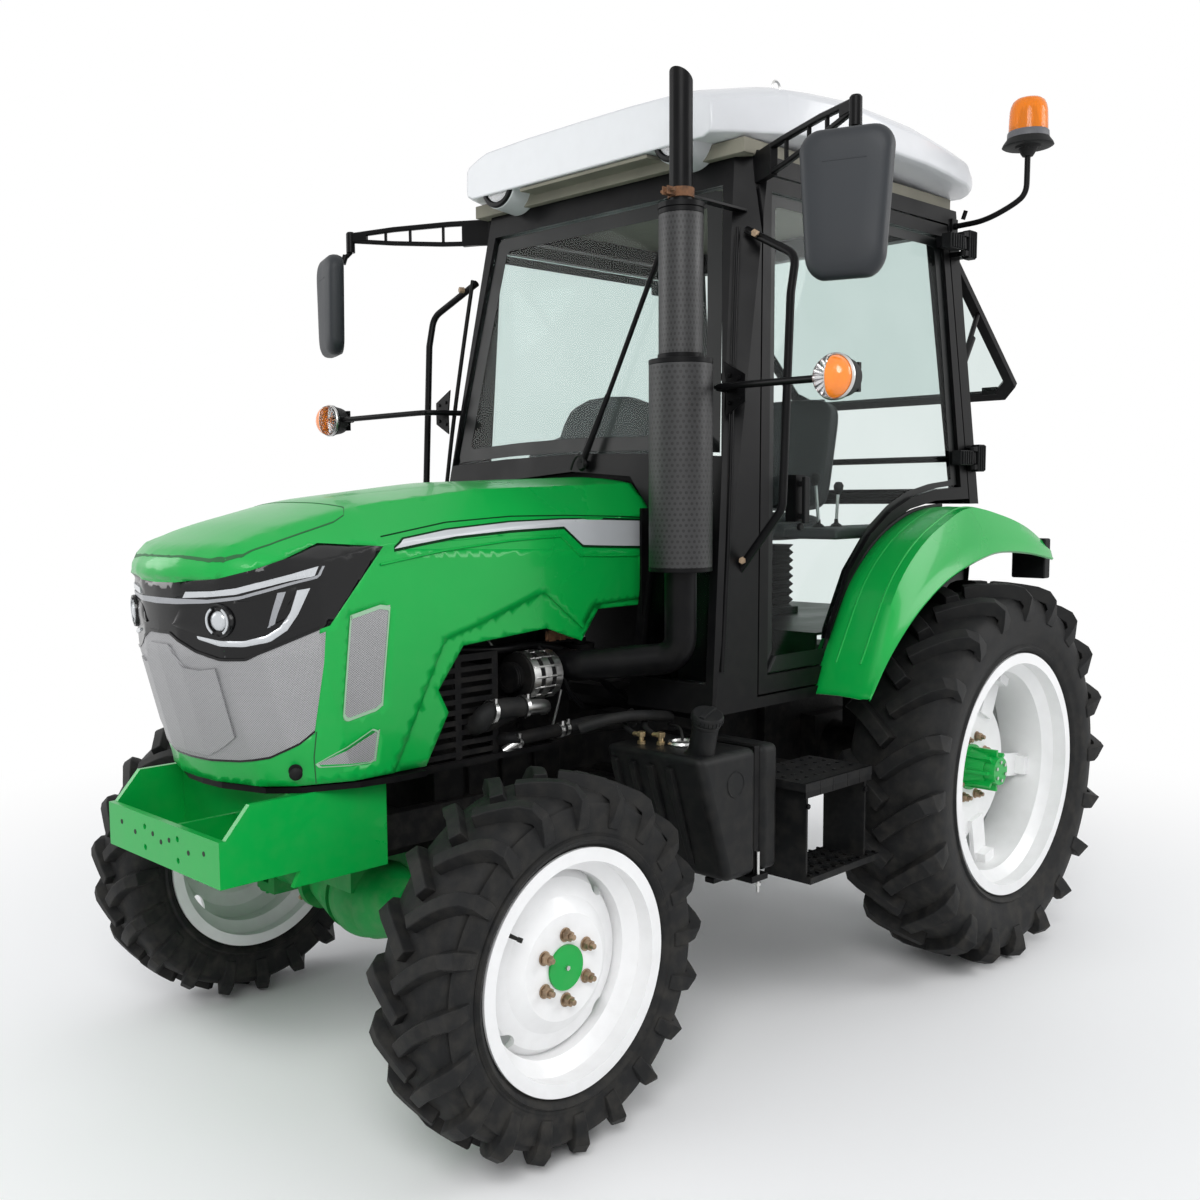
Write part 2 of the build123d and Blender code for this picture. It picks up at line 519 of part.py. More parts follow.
def cab_form(inset):
    """Solid filling the cab, drawn in by inset: a box on a slope with its front corners cut off."""
    sections = []
    for z, rear, front, half in ((FLOOR_Z, CAB_REAR_LOW, CAB_FRONT_LOW, CAB_LOW_Y),
                                 (ROOF_Z, CAB_REAR_HIGH, CAB_FRONT_HIGH, CAB_HIGH_Y)):
        x0, x1, y = rear + inset, front - inset, half - inset
        sections.append(Pos((x0 + x1) / 2, 0, z) * Rectangle(x1 - x0, 2 * y))
    form = loft(sections, ruled=True)
    low = Vector(CAB_FRONT_LOW, CORNER_LOW, FLOOR_Z)
    high = Vector(CAB_FRONT_HIGH, CORNER_HIGH, ROOF_Z)
    back = Vector(CAB_FRONT_HIGH - 60, CAB_HIGH_Y, ROOF_Z)
    normal = (high - low).cross(back - high).normalized()
    normal = normal if normal.X > 0 else -normal
    corner = Plane(origin=high - normal * inset, z_dir=normal) * Pos(0, 0, 1000) * Box(4000, 4000, 2000)
    return form - corner - mirrored(corner)


cab_outer = cab_form(0)
cab_walls = cab_outer - cab_form(POST_T)
door_walls = cab_outer - cab_form(DOOR_T)
glass_walls = cab_form(GLASS_IN) - cab_form(GLASS_IN + GLASS_T)

# upright edges in the side, as x at the sill and x under the roof
DOOR_FRONT = (R + 985, R + 905)
DOOR_REAR = (R - 288, R - 85)
WINDOW_FRONT = (R + 940, R + 862)
WINDOW_REAR = (R - 240, R - 44)


def edge_x(edge, z):
    """x of an upright edge at a height."""
    return edge[0] + (edge[1] - edge[0]) * (z - SILL_Z) / (ROOF_Z - SILL_Z)


def side_prism(front, rear, low, high, arc, inset=0.0):
    """Prism through the left side between two upright edges and over an arc."""
    points = [(edge_x(front, low) - inset, low + inset), (edge_x(front, high) - inset, high - inset),
              (edge_x(rear, high) + inset, high - inset)]
    return side_cut(points + arc, 300, 720)


# the fender's line against the cab, ahead of the rear axle
FENDER_ARC = [(-198, 1448), (11, 1444), (167, 1419), (290, 1376), (408, 1309), (520, 1207), (627, 1040), (706, 910)]
ARC_REACH = 706


def over_fender(gap):
    """Points along the fender's line, raised by a gap."""
    return [(R + x + 0.7 * gap * max(0, x) / ARC_REACH, z + gap) for x, z in FENDER_ARC]


doorway = side_prism(DOOR_FRONT, DOOR_REAR, SILL_Z, HEADER_Z,
                     [(edge_x(DOOR_REAR, 1448), 1448)] + over_fender(0)[:-1] + [(R + 690, SILL_Z)])
door_prism = side_prism(DOOR_FRONT, DOOR_REAR, SILL_Z, HEADER_Z,
                        [(edge_x(DOOR_REAR, 1464) + CLEAR, 1448 + DOOR_RISE)] + over_fender(DOOR_RISE)[:-1] +
                        [(R + 698, SILL_Z + CLEAR)], CLEAR)
window_arc = [(edge_x(DOOR_REAR, 1504) + 52, 1504)] + [(x - 12, z + 36) for x, z in over_fender(DOOR_RISE)[1:-1]]
door_window = side_prism(WINDOW_FRONT, WINDOW_REAR, SILL_Z + 55, HEADER_Z - 45,
                         window_arc + [(R + 650, SILL_Z + 55)])

# ---------------------------------------------------------------- cab
COWL = [(0, 1560), (238, 1542), (BONNET_HALF + 8, 1452), (BONNET_HALF + 8, 880)]
cowl_hole = front_cut([(-y, z) for y, z in reversed(COWL[1:])] + COWL, F - 860, F - 600)
# windscreen, the low panes beside the bonnet and the rear opening, seen from the front
WINDSCREEN = [(-560, 1590), (-300, 1605), (0, 1612), (300, 1605), (560, 1590), (468, 2330), (-468, 2330)]
LOW_PANE = [(352, 985), (352, 1500), (545, 1500), (588, 985)]
REAR_OPENING = [(-520, 1500), (-480, 2330), (480, 2330), (520, 1500)]
windscreen = front_cut(WINDSCREEN, F - 1100, F - 600)
low_panes = both(front_cut(LOW_PANE, F - 900, F - 600))
frame = cab_walls - cowl_hole - windscreen - low_panes - doorway - mirrored(doorway)
frame -= front_cut(REAR_OPENING, R - 400, R)
# below the doorway the fenders and the floor take over
under = [(ARC_REACH, 800)] + FENDER_ARC[::-1] + [(-600, 1448), (-600, 800)]
frame -= side_cut(from_rear(under), -720, 720)
# guard bars across the rear opening
for z in (1475, 1600):
    frame += rod((R - 225, -570, z), (R - 225, 570, z), 11)
node("front_glass", glass_walls & (windscreen + low_panes))

door = (door_walls & door_prism) - door_window
hinge_low = Vector(DOOR_HINGE_LOW, DOOR_HINGE_Y, HINGE_Z_LOW)
hinge_high = Vector(DOOR_HINGE_HIGH, DOOR_HINGE_Y, HINGE_Z_HIGH)
hinge_up = (hinge_high - hinge_low).normalized()
HINGE_R, HINGE_PIN_R = 13, 6
for centre in (hinge_low, hinge_high):
    x, y, z = centre
    along = Plane(origin=centre, z_dir=hinge_up)
    strap = block(x, x + 90, 500, y + HINGE_R - 4, z - 16, z + 16) - cab_outer
    strap -= block(x - 20, x + 30, 500, y - HINGE_R - 1, z - 20, z + 20)
    door += strap + along * Cylinder(HINGE_R, 36) - along * Cylinder(HINGE_PIN_R + 0.15, 80)
    for end in (-1, 1):
        lug = block(x - 62, x, 500, y + HINGE_R, z + 30 * end - 8, z + 30 * end + 8)
        lug += Plane(origin=centre + hinge_up * 30 * end, z_dir=hinge_up) * Cylinder(HINGE_R, 14)
        frame += both(lug - cab_outer)
    frame += both(along * Cylinder(HINGE_PIN_R, 74))
door += block(F - 1065, F - 1020, 500, 628, 1410, 1540) - cab_form(GLASS_IN)
node("cab_frame", frame)
node("door_left", door)
node("door_right", mirrored(door))
pane = glass_walls & door_window
node("door_glass_left", pane)
node("door_glass_right", mirrored(pane))

# floor ahead of the rear wheels, riser and deck between them, and the mounts on the rear axle
ARCH_Y = REAR_TRACK / 2 - REAR_TYRE_W / 2 - 34      # inner wall beside the rear tyre
floor = block(R + 640, CAB_FRONT_LOW, -CAB_LOW_Y, CAB_LOW_Y, FLOOR_Z, SILL_Z) & cab_form(POST_T)
for x in (R + 680, R + 1000):
    floor += block(x - 40, x + 40, -480, 480, GEARBOX_TOP, FLOOR_Z)
floor += block(R + 632, R + 640, -ARCH_Y + 8, ARCH_Y - 8, FLOOR_Z, DECK_Z)
floor += block(R - 232, R + 632, -ARCH_Y + 8, ARCH_Y - 8, DECK_Z - 8, DECK_Z)
mount = block(R - 45, R + 45, 290, 380, REAR_Z, DECK_Z - 8) - rod((R, 0, REAR_Z), (R, 700, REAR_Z), HOUSING_R)
floor += both(mount)
node("cab_floor", floor)

FIREWALL_X = F - 836
FIREWALL_T = 8
firewall = block(FIREWALL_X, FIREWALL_X + FIREWALL_T, -360, 360, SILL_Z, 1570)
firewall += both(block(FIREWALL_X + FIREWALL_T, F - 700, 334, 342, SILL_Z, 1452))
firewall -= cab_walls
# brackets on the firewall hold the bonnet's hinge pins
bracket_x = FIREWALL_X + FIREWALL_T
bracket = [(HINGE_X - HINGE_EYE_R, HINGE_Z), (HINGE_X + HINGE_EYE_R, HINGE_Z), (HINGE_X + HINGE_EYE_R, HINGE_Z - 60),
           (bracket_x, HINGE_Z - 105), (bracket_x, HINGE_Z - 60), (HINGE_X - HINGE_EYE_R, HINGE_Z - 40)]
for y in (BONNET_HINGE_Y, -BONNET_HINGE_Y):
    for inner in (y - 15 - RUN - 12, y + 15 + RUN):
        firewall += side_cut(bracket, inner, inner + 12)
        firewall += rod((HINGE_X, inner, HINGE_Z), (HINGE_X, inner + 12, HINGE_Z), HINGE_EYE_R)
    firewall += rod((HINGE_X, y - 15 - RUN - 12, HINGE_Z), (HINGE_X, y + 15 + RUN + 12, HINGE_Z), BONNET_PIN_R)
node("firewall", firewall)

# rear window, fixed open at about half a right angle, with its pane and two stays
HATCH_HALF, HATCH_BAR, HATCH_T = 490, 34, 22
hatch_top = Vector(F - 2008, 0, ROOF_Z - 6)
hatch_low = Vector(R - REAR_REACH + 8, 0, 1838)
hatch_down = (hatch_low - hatch_top).normalized()
hatch_length = (hatch_low - hatch_top).length
hatch_plane = Plane(origin=hatch_top, x_dir=(0, 1, 0), z_dir=Vector(0, 1, 0).cross(hatch_down))


def hatch_outline(inset):
    """The rear window's outline in its own plane, drawn in by inset."""
    half, low, cut = HATCH_HALF - inset, hatch_length - inset, 60
    return make_face(Polyline((-half + 20, inset), (half - 20, inset), (half, cut), (half, low - cut),
                              (half - cut, low), (-half + cut, low), (-half, low - cut), (-half, cut), close=True))


hatch = extrude(hatch_plane * hatch_outline(0), HATCH_T / 2, both=True)
hatch -= extrude(hatch_plane * hatch_outline(HATCH_BAR), HATCH_T, both=True)
hatch_pane = extrude(hatch_plane * hatch_outline(HATCH_BAR), GLASS_T / 2, both=True)
for y in (-300, 300):
    hatch += rod((F - 2008, y - 30, ROOF_Z - 8), (F - 2008, y + 30, ROOF_Z - 8), 14)
    hatch += block(F - 2012, F - 1960, y - 22, y + 22, ROOF_Z - 20, ROOF_Z - 4)
hatch -= cab_outer
middle = hatch_top + hatch_down * 0.5 * hatch_length
stay = rod((R - 238, 548, 1890), (middle.X, HATCH_HALF - 14, middle.Z), 9)
hatch_solid = hatch + both(stay - cab_outer)
node("rear_window", hatch_solid)
node("rear_glass", hatch_pane)

# ---------------------------------------------------------------- fenders
FENDER_T = 6
# lines over the fender, ahead of the rear axle: beside the arch wall, along its crest and along its outer edge
FENDER_ROOT = [(-480, 1372), (-30, 1440), (140, 1424), (280, 1380), (402, 1312), (518, 1208), (626, 1040), (706, 910)]
FENDER_CREST = [(-468, 1298), (-110, 1416), (90, 1440), (240, 1398), (380, 1330), (505, 1222), (620, 1046), (704, 914)]
FENDER_EDGE = [(-425, 1262), (-60, 1300), (73, 1284), (215, 1249), (329, 1207), (471, 1128), (604, 1022), (700, 915)]
FENDER_LINES = [(ARCH_Y - 8, FENDER_ROOT), (REAR_TRACK / 2 + 13, FENDER_CREST), (REAR_TRACK / 2 + 37, FENDER_EDGE)]


def sheet_section(points, y):
    """A thin arched section across the fender: its top line and the same line lowered by the metal."""
    top = from_rear(points)
    low = [(R + x - FENDER_T * 0.7 * max(0, x) / ARC_REACH, z - FENDER_T) for x, z in points]
    return Plane.XZ.offset(-y) * make_face(Polyline(*top, *reversed(low), close=True))


fender = loft([sheet_section(points, y) for y, points in FENDER_LINES], ruled=True)
arch_wall = [(x, z - FENDER_T) for x, z in FENDER_ROOT[1:-1]]
arch_wall += [(690, FLOOR_Z), (560, FLOOR_Z), (300, 1000), (-240, 1000), (-240, 1400)]
fender += side_cut(from_rear(arch_wall), ARCH_Y - 8, ARCH_Y)
fender -= cab_walls + floor
node("fenders", fender, mirrored(fender))
rear_lamp = block(R - 470, R - 418, REAR_TRACK / 2 - 110, REAR_TRACK / 2 + 10, 1190, 1330) - fender
rear_lamp = rear_lamp.solids().sort_by(Axis.Z)[0]
node("rear_lamps", rear_lamp, mirrored(rear_lamp))

# ---------------------------------------------------------------- roof
# sections from the front to the rear: x ahead of the front axle, half width, underside and edge above the
# cab's frame, half width of the flat top and its height above the frame
ROOF_SECTIONS = [
    (-800, 500, 40, 138, 420, 172),
    (-1000, 610, 48, 168, 520, 205),
    (-1300, 655, 72, 170, 560, 222),
    (-1650, 660, 68, 156, 570, 212),
    (-1900, 655, 48, 125, 560, 170),
    (-2010, 600, 40, 90, 520, 120),
]
sections = []
for ahead, half, low, high, top_half, top in ROOF_SECTIONS:
    right = [(half - 30, low), (half, low + 14), (half, high), (top_half, top), (0, top + 6)]
    outline = [(y, ROOF_Z + z) for y, z in right] + [(-y, ROOF_Z + z) for y, z in reversed(right[:-1])]
    sections.append(Plane.YZ.offset(F + ahead) * make_face(Polyline(*outline, close=True)))
roof = loft(sections, ruled=True)
liner = [(-1990, ROOF_Z), (-920, ROOF_Z), (-870, ROOF_Z + 80), (-1990, ROOF_Z + 80)]
roof += side_cut(from_front(liner), -552, 552) & plan_cut(
    [(F - 2000, -552), (F - 2000, 552), (F - 960, 552), (F - 880, 470), (F - 880, -470), (F - 960, -552)],
    ROOF_Z, ROOF_Z + 90)
ROOF_LAMP_Y, ROOF_LAMP_R = 362, 56
lamp_z = ROOF_Z + 71
roof -= block(F - 860, F - 780, -270, 270, ROOF_Z, ROOF_Z + 66)
for y in (ROOF_LAMP_Y, -ROOF_LAMP_Y):
    roof += rod((F - 960, y, lamp_z), (F - 806, y, lamp_z), ROOF_LAMP_R + 18)
    roof -= rod((F - 840, y, lamp_z), (F - 790, y, lamp_z), ROOF_LAMP_R)
    eye_z = ROOF_Z + 246
    eye = rod((F - 1160, 1.24 * y - 6, eye_z), (F - 1160, 1.24 * y + 6, eye_z), 24)
    eye += block(F - 1172, F - 1148, 1.24 * y - 6, 1.24 * y + 6, ROOF_Z + 190, eye_z - 10)
    roof += eye - rod((F - 1160, 1.24 * y - 9, eye_z), (F - 1160, 1.24 * y + 9, eye_z), 13)
roof -= cab_outer
node("roof", roof)
roof_lamp = rod((F - 840, ROOF_LAMP_Y, lamp_z), (F - 812, ROOF_LAMP_Y, lamp_z), ROOF_LAMP_R)
node("roof_lamps", roof_lamp, mirrored(roof_lamp))

# ---------------------------------------------------------------- inside the cab
dash = side_cut([(FIREWALL_X, SILL_Z + 300), (FIREWALL_X, 1570), (F - 860, 1660), (F - 930, 1700), (F - 1000, 1660),
                 (F - 985, 1400), (F - 930, SILL_Z + 300)], -210, 210)
dash += block(F - 930, FIREWALL_X, -90, 90, SILL_Z, SILL_Z + 300)
node("dashboard", dash)
wheel_plane = Plane(origin=(F - 1075, 0, 1640), z_dir=(-0.5, 0, 0.86))
rim_outline = [(204, 0), (200, 10), (190, 14), (180, 10), (176, 0), (180, -10), (190, -14), (200, -10)]
steering_rim = revolve(make_face(Plane.XZ * Polyline(*rim_outline, close=True)), Axis.Z)
steering = wheel_plane * (steering_rim + Cylinder(30, 30) + Box(366, 24, 10) + Rot(0, 0, 90) * Box(366, 24, 10))
steering += rod((F - 1070, 0, 1630), (F - 990, 0, 1492), 24)
node("steering_wheel", steering - dash)

SEAT_X = R + 90
SEAT_Z = 1330
cushion = block(SEAT_X - 20, SEAT_X + 480, -245, 245, SEAT_Z, SEAT_Z + 100)
back = Pos(SEAT_X - 10, 0, SEAT_Z + 80) * Rot(0, -12, 0) * Pos(0, 0, 290) * Box(100, 450, 560)
node("seat_cushion", cushion)
node("seat_back", back - cushion)
node("seat_base", block(SEAT_X + 40, SEAT_X + 400, -170, 170, DECK_Z, SEAT_Z))

# ---------------------------------------------------------------- exhaust, tank, battery, steps
EXHAUST_X, EXHAUST_Y = F - 630, 540
PORT_X = F - 490
exhaust = rod((EXHAUST_X, EXHAUST_Y, 1290), (EXHAUST_X, EXHAUST_Y, 1830), 81)
exhaust += rod((EXHAUST_X, EXHAUST_Y, 1830), (EXHAUST_X, EXHAUST_Y, 2220), 55)
exhaust += rod((EXHAUST_X, EXHAUST_Y, 2215), (EXHAUST_X, EXHAUST_Y, 2228), 60)
mouth = rod((EXHAUST_X, EXHAUST_Y, 2220), (EXHAUST_X, EXHAUST_Y, 2572), 30)
mouth -= rod((EXHAUST_X, EXHAUST_Y, 2480), (EXHAUST_X, EXHAUST_Y, 2600), 27)
mouth -= side_cut([(EXHAUST_X - 40, 2580), (EXHAUST_X + 40, 2580), (EXHAUST_X + 40, 2568), (EXHAUST_X - 40, 2515)],
                  EXHAUST_Y - 40, EXHAUST_Y + 40)
exhaust += mouth
exhaust += tube([(EXHAUST_X, EXHAUST_Y, 1292), (EXHAUST_X, EXHAUST_Y, 1060), (PORT_X, 300, 1030),
                 (PORT_X, ENGINE_HALF, 1030)], 42, 60)
exhaust += beam((EXHAUST_X, EXHAUST_Y, 2252), (F - 900, EXHAUST_Y - 10, 2252), 30, 6) - cab_outer
exhaust -= rod((EXHAUST_X, EXHAUST_Y, 2480), (EXHAUST_X, EXHAUST_Y, 2600), 27)
node("exhaust", exhaust)

# a box with its front slanted and its outer edges rounded off: x of its rear, top front and bottom front
TANK = (-785, -454, -567)
BATTERY = (-785, -512, -610)


def side_box(reach, inner, outer, low, high, edge):
    """Box beside the gearbox, with a slanted front and cut edges."""
    rear, top, bottom = reach
    form = side_cut(from_front([(rear, low), (bottom, low), (top, high - edge), (top - edge, high), (rear, high)]),
                    inner, outer)
    form &= front_cut([(inner, low), (outer - edge, low), (outer, low + edge), (outer, high - edge),
                       (outer - edge, high), (inner, high)], F - 1000, F)
    return form


tank = side_box(TANK, 420, 750, 500, 840, 26)
for x in (-760, -640):
    tank += block(F + x, F + x + 40, 420, 756, 530, 812)
neck_low, neck_high = (F - 528, 690, 815), (F - 505, 732, 940)
tank += rod(neck_low, neck_high, 34)
tank += rod(neck_high, (F - 500, 741, 968), 42)
tank += block(F - 700, F - 610, 560, 650, 840, 852)
node("fuel_tank", tank)
node("battery_box", mirrored(side_box(BATTERY, 420, 700, 560, 820, 18)))

LOW_STEP_Z, HIGH_STEP_Z = 460, 720
low_tread = block(F - 1190, F - 850, 656, 806, LOW_STEP_Z - 10, LOW_STEP_Z + 8)
for i in range(8):
    for k in range(3):
        low_tread -= block(F - 1174 + 40 * i, F - 1150 + 40 * i, 672 + 44 * k, 698 + 44 * k, 440, 480)
step = low_tread + block(F - 1140, F - 820, 600, 808, HIGH_STEP_Z - 14, HIGH_STEP_Z + 8)
for x in (F - 858, F - 1140):
    step += side_cut([(x, LOW_STEP_Z - 10), (x + 8, LOW_STEP_Z - 10), (x + 8, HIGH_STEP_Z), (x, HIGH_STEP_Z)], 656, 790)
    step += block(x, x + 8, 600, 790, 630, HIGH_STEP_Z)
node("steps", step, mirrored(step))

# ---------------------------------------------------------------- mirrors, lamps, rails
pivot = (F - 700, 1006)
arm = rod((pivot[0], pivot[1], 2322), (pivot[0], pivot[1], 2406), 16)
for z in (2342, 2386):
    arm += rod((F - 950, 530, z - 2), (pivot[0], pivot[1], z), 8)
for low, high in ((0.15, 0.35), (0.55, 0.35), (0.55, 0.75), (0.95, 0.75)):
    p = (F - 950 + 250 * low, 530 + 476 * low, 2342)
    q = (F - 950 + 250 * high, 530 + 476 * high, 2386)
    arm += rod(p, q, 5)
head_plane = Plane(origin=(F - 628, 1030, 2146), x_dir=(-sin(radians(22)), cos(radians(22)), 0), z_dir=(0, 0, 1))
head = Box(224, 66, 340)
head -= Pos(0, 32, 0) * Box(204, 6, 316)
head = chamfer(head.edges().filter_by(Axis.Z).group_by(Axis.Y)[0], 20)
head = head_plane * head
arm += rod((pivot[0], pivot[1], 2330), (F - 650, 1024, 2300), 11)
mirror_side = arm + head - cab_outer
node("mirrors", mirror_side, mirrored(mirror_side))

signal = (F - 607, 1021, 1756)
lamp = rod((signal[0] - 52, signal[1], signal[2]), (signal[0] + 30, signal[1], signal[2]), 55)
lamp += rod((signal[0] + 30, signal[1], signal[2]), (signal[0] + 46, signal[1], signal[2]), 48)
lamp_arm = tube([(F - 840, 540, 1765), (F - 697, 602, 1765), (F - 618, 975, 1757)], 9, 15)
lamp_arm += plan_cut([(F - 830, 560), (F - 690, 600), (F - 672, 690), (F - 790, 600)], 1761, 1769)
one = lamp_arm + lamp - cab_outer
node("turn_lamps", one, mirrored(one))
rail = tube([(F - 886, 556, 2195), (F - 850, 740, 2100), (F - 828, 740, 2000), (F - 800, 740, 1450),
             (F - 800, 590, 1270)], 11, 50) - cab_outer
node("grab_rails", rail, mirrored(rail))
BEACON_X, BEACON_Y = F - 2000, 800
beacon = tube([(F - 1970, 540, 2345), (F - 1972, 690, 2352), (BEACON_X, BEACON_Y, 2440), (BEACON_X, BEACON_Y, 2570)],
              9, 30)
for z0, z1, r in ((2560, 2584, 78), (2584, 2600, 64), (2600, 2690, 60), (2690, 2710, 46)):
    beacon += rod((BEACON_X, BEACON_Y, z0), (BEACON_X, BEACON_Y, z1), r)
node("beacon", beacon - cab_outer - roof)

wiper = rod((F - 757, 60, 1580), (F - 858, 280, 2190), 7)
wiper += rod((F - 748, 60, 1580), (F - 800, 60, 1580), 12)
node("wiper", wiper - cab_outer)

# ---------------------------------------------------------------- linkage, drawbar and power take-off
drawbar = block(R - 420, R - 200, -45, 45, DRAWBAR_Z, DRAWBAR_Z + 30)
drawbar += block(R - 240, R - 200, -45, 45, DRAWBAR_Z, 480)
drawbar -= rod((R - 390, 0, DRAWBAR_Z - 20), (R - 390, 0, DRAWBAR_Z + 50), DRAWBAR_PIN_R)
take_off = rod((R - 190, 0, 640), (R - 300, 0, 640), PTO_R) + block(R - 290, R - 200, -70, 70, 708, 716)
take_off += both(block(R - 290, R - 200, 62, 70, 640, 708))
top_link = block(R - 240, R - 180, -40, 40, 790, 850) + beam((R - 225, 0, 820), (R - 440, 0, 880), 26, 26)
end_x = R - LINK_REACH
link = beam((R - 150, LINK_Y, 500), (end_x, LINK_END_Y, LINK_Z), 20, 60)
link += rod((R - 150, GEARBOX_REAR_HALF, 500), (R - 150, LINK_Y + 22, 500), 14)
link += rod((end_x, LINK_END_Y - 18, LINK_Z), (end_x, LINK_END_Y + 18, LINK_Z), 25)
link += rod((R - 150, 130, 905), (R - 150, 246, 905), 32)
link += beam((R - 150, 235, 905), (R - 420, 235, 840), 22, 50)
link += rod((R - 420, 250, 840), (R - 480, 285, 455), 12)
link -= rod((end_x, LINK_END_Y - 40, LINK_Z), (end_x, LINK_END_Y + 40, LINK_Z), BALL_R)
link -= gearbox
node("hitch", drawbar, take_off - gearbox, top_link - gearbox, link, mirrored(link))

os.makedirs("parts", exist_ok=True)
for name, shape in NODES.items():
    export_step(shape, f"parts/{name}.step")
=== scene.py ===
import math
import bmesh
import bpy
from mathutils import Matrix, Vector
from mathutils.bvhtree import BVHTree


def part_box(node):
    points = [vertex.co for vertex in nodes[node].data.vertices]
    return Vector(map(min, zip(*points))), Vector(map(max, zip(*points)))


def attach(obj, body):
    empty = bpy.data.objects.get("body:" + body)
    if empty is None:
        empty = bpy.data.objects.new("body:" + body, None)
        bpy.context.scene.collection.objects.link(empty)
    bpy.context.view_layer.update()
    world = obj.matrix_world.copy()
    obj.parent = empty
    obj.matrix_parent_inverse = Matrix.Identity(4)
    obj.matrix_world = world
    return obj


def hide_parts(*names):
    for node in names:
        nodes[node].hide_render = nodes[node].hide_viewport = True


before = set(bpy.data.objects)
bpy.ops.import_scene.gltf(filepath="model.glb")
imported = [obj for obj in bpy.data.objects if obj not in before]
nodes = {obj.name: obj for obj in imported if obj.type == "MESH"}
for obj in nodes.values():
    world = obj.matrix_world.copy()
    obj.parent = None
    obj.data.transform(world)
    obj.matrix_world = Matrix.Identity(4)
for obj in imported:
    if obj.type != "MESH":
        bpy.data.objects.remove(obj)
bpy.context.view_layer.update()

# The tractor stands on a pale studio floor under soft light.
# The floor is one wide sheet, the light comes from three large panels and the pale surroundings.
scene = bpy.context.scene
scene.view_settings.view_transform = "Standard"
world = bpy.data.worlds.new("studio")
scene.world = world


def put(tree, socket, value):
    """An input takes a number, a colour or another node's output."""
    if isinstance(value, bpy.types.NodeSocket):
        tree.links.new(value, socket)
    else:
        socket.default_value = (*value, 1) if isinstance(value, tuple) else value


def maths(tree, operation, *values):
    made = tree.nodes.new("ShaderNodeMath")
    made.operation = operation
    for socket, value in zip(made.inputs, values):
        put(tree, socket, value)
    return made.outputs[0]


def mixed(tree, share, first, second):
    """One shader that turns into the other as the share goes from 0 to 1."""
    made = tree.nodes.new("ShaderNodeMixShader")
    for socket, value in zip(made.inputs, (share, first, second)):
        tree.links.new(value, socket)
    return made.outputs[0]


def background_seen(tree):
    """1 where the camera sees the background itself, in a mirror or through glass, else 0."""
    path = tree.nodes.new("ShaderNodeLightPath").outputs
    found = maths(tree, "MAXIMUM", path["Is Camera Ray"], path["Is Glossy Ray"])
    return maths(tree, "MAXIMUM", found, path["Is Transmission Ray"])


world.use_nodes = True
tree = world.node_tree
tree.nodes.clear()
skies = []
for colour, strength in (((0.95, 0.97, 1.0), 0.58), ((1.0, 1.0, 1.0), 1.0)):
    sky = tree.nodes.new("ShaderNodeBackground")
    put(tree, sky.inputs["Color"], colour)
    put(tree, sky.inputs["Strength"], strength)
    skies.append(sky.outputs[0])
output = tree.nodes.new("ShaderNodeOutputWorld")
tree.links.new(mixed(tree, background_seen(tree), *skies), output.inputs["Surface"])

for name, place, aim, size, power in (("key", (4.5, 4.0, 4.6), (0.2, 0.3, 1.0), 3.2, 190),
                                      ("rim", (-3.5, 4.5, 3.4), (-0.5, 0.2, 1.2), 3.0, 100),
                                      ("far", (3.8, -4.2, 3.2), (0.4, -0.2, 1.0), 3.0, 80)):
    lamp = bpy.data.lights.new(name, "AREA")
    lamp.shape = "DISK"
    lamp.size = size
    lamp.energy = power
    lamp_object = bpy.data.objects.new(name, lamp)
    scene.collection.objects.link(lamp_object)
    lamp_object.location = place
    lamp_object.rotation_euler = (Vector(aim) - Vector(place)).to_track_quat("-Z", "Y").to_euler()

mesh = bpy.data.meshes.new("floor")
builder = bmesh.new()
bmesh.ops.create_grid(builder, x_segments=1, y_segments=1, size=40)
builder.to_mesh(mesh)
builder.free()
floor = bpy.data.objects.new("floor", mesh)
scene.collection.objects.link(floor)
ground = bpy.data.materials.new("floor")
ground.use_nodes = True
tree = ground.node_tree
shader = tree.nodes["Principled BSDF"]
shader.inputs["Base Color"].default_value = (0.96, 0.96, 0.96, 1)
shader.inputs["Roughness"].default_value = 0.9
coord = tree.nodes.new("ShaderNodeTexCoord")
away = tree.nodes.new("ShaderNodeVectorMath")
away.operation = "LENGTH"
tree.links.new(coord.outputs["Object"], away.inputs[0])
fade = tree.nodes.new("ShaderNodeMapRange")
fade.interpolation_type = "SMOOTHSTEP"
glow_starts, glow_full = 1.2, 4.2
fade.inputs["From Min"].default_value = glow_starts
fade.inputs["From Max"].default_value = glow_full
tree.links.new(away.outputs["Value"], fade.inputs["Value"])
bright = maths(tree, "MULTIPLY", fade.outputs["Result"], background_seen(tree))
glow = tree.nodes.new("ShaderNodeEmission")
lit_floor = mixed(tree, bright, shader.outputs[0], glow.outputs[0])
tree.links.new(lit_floor, tree.nodes["Material Output"].inputs["Surface"])
mesh.materials.append(ground)

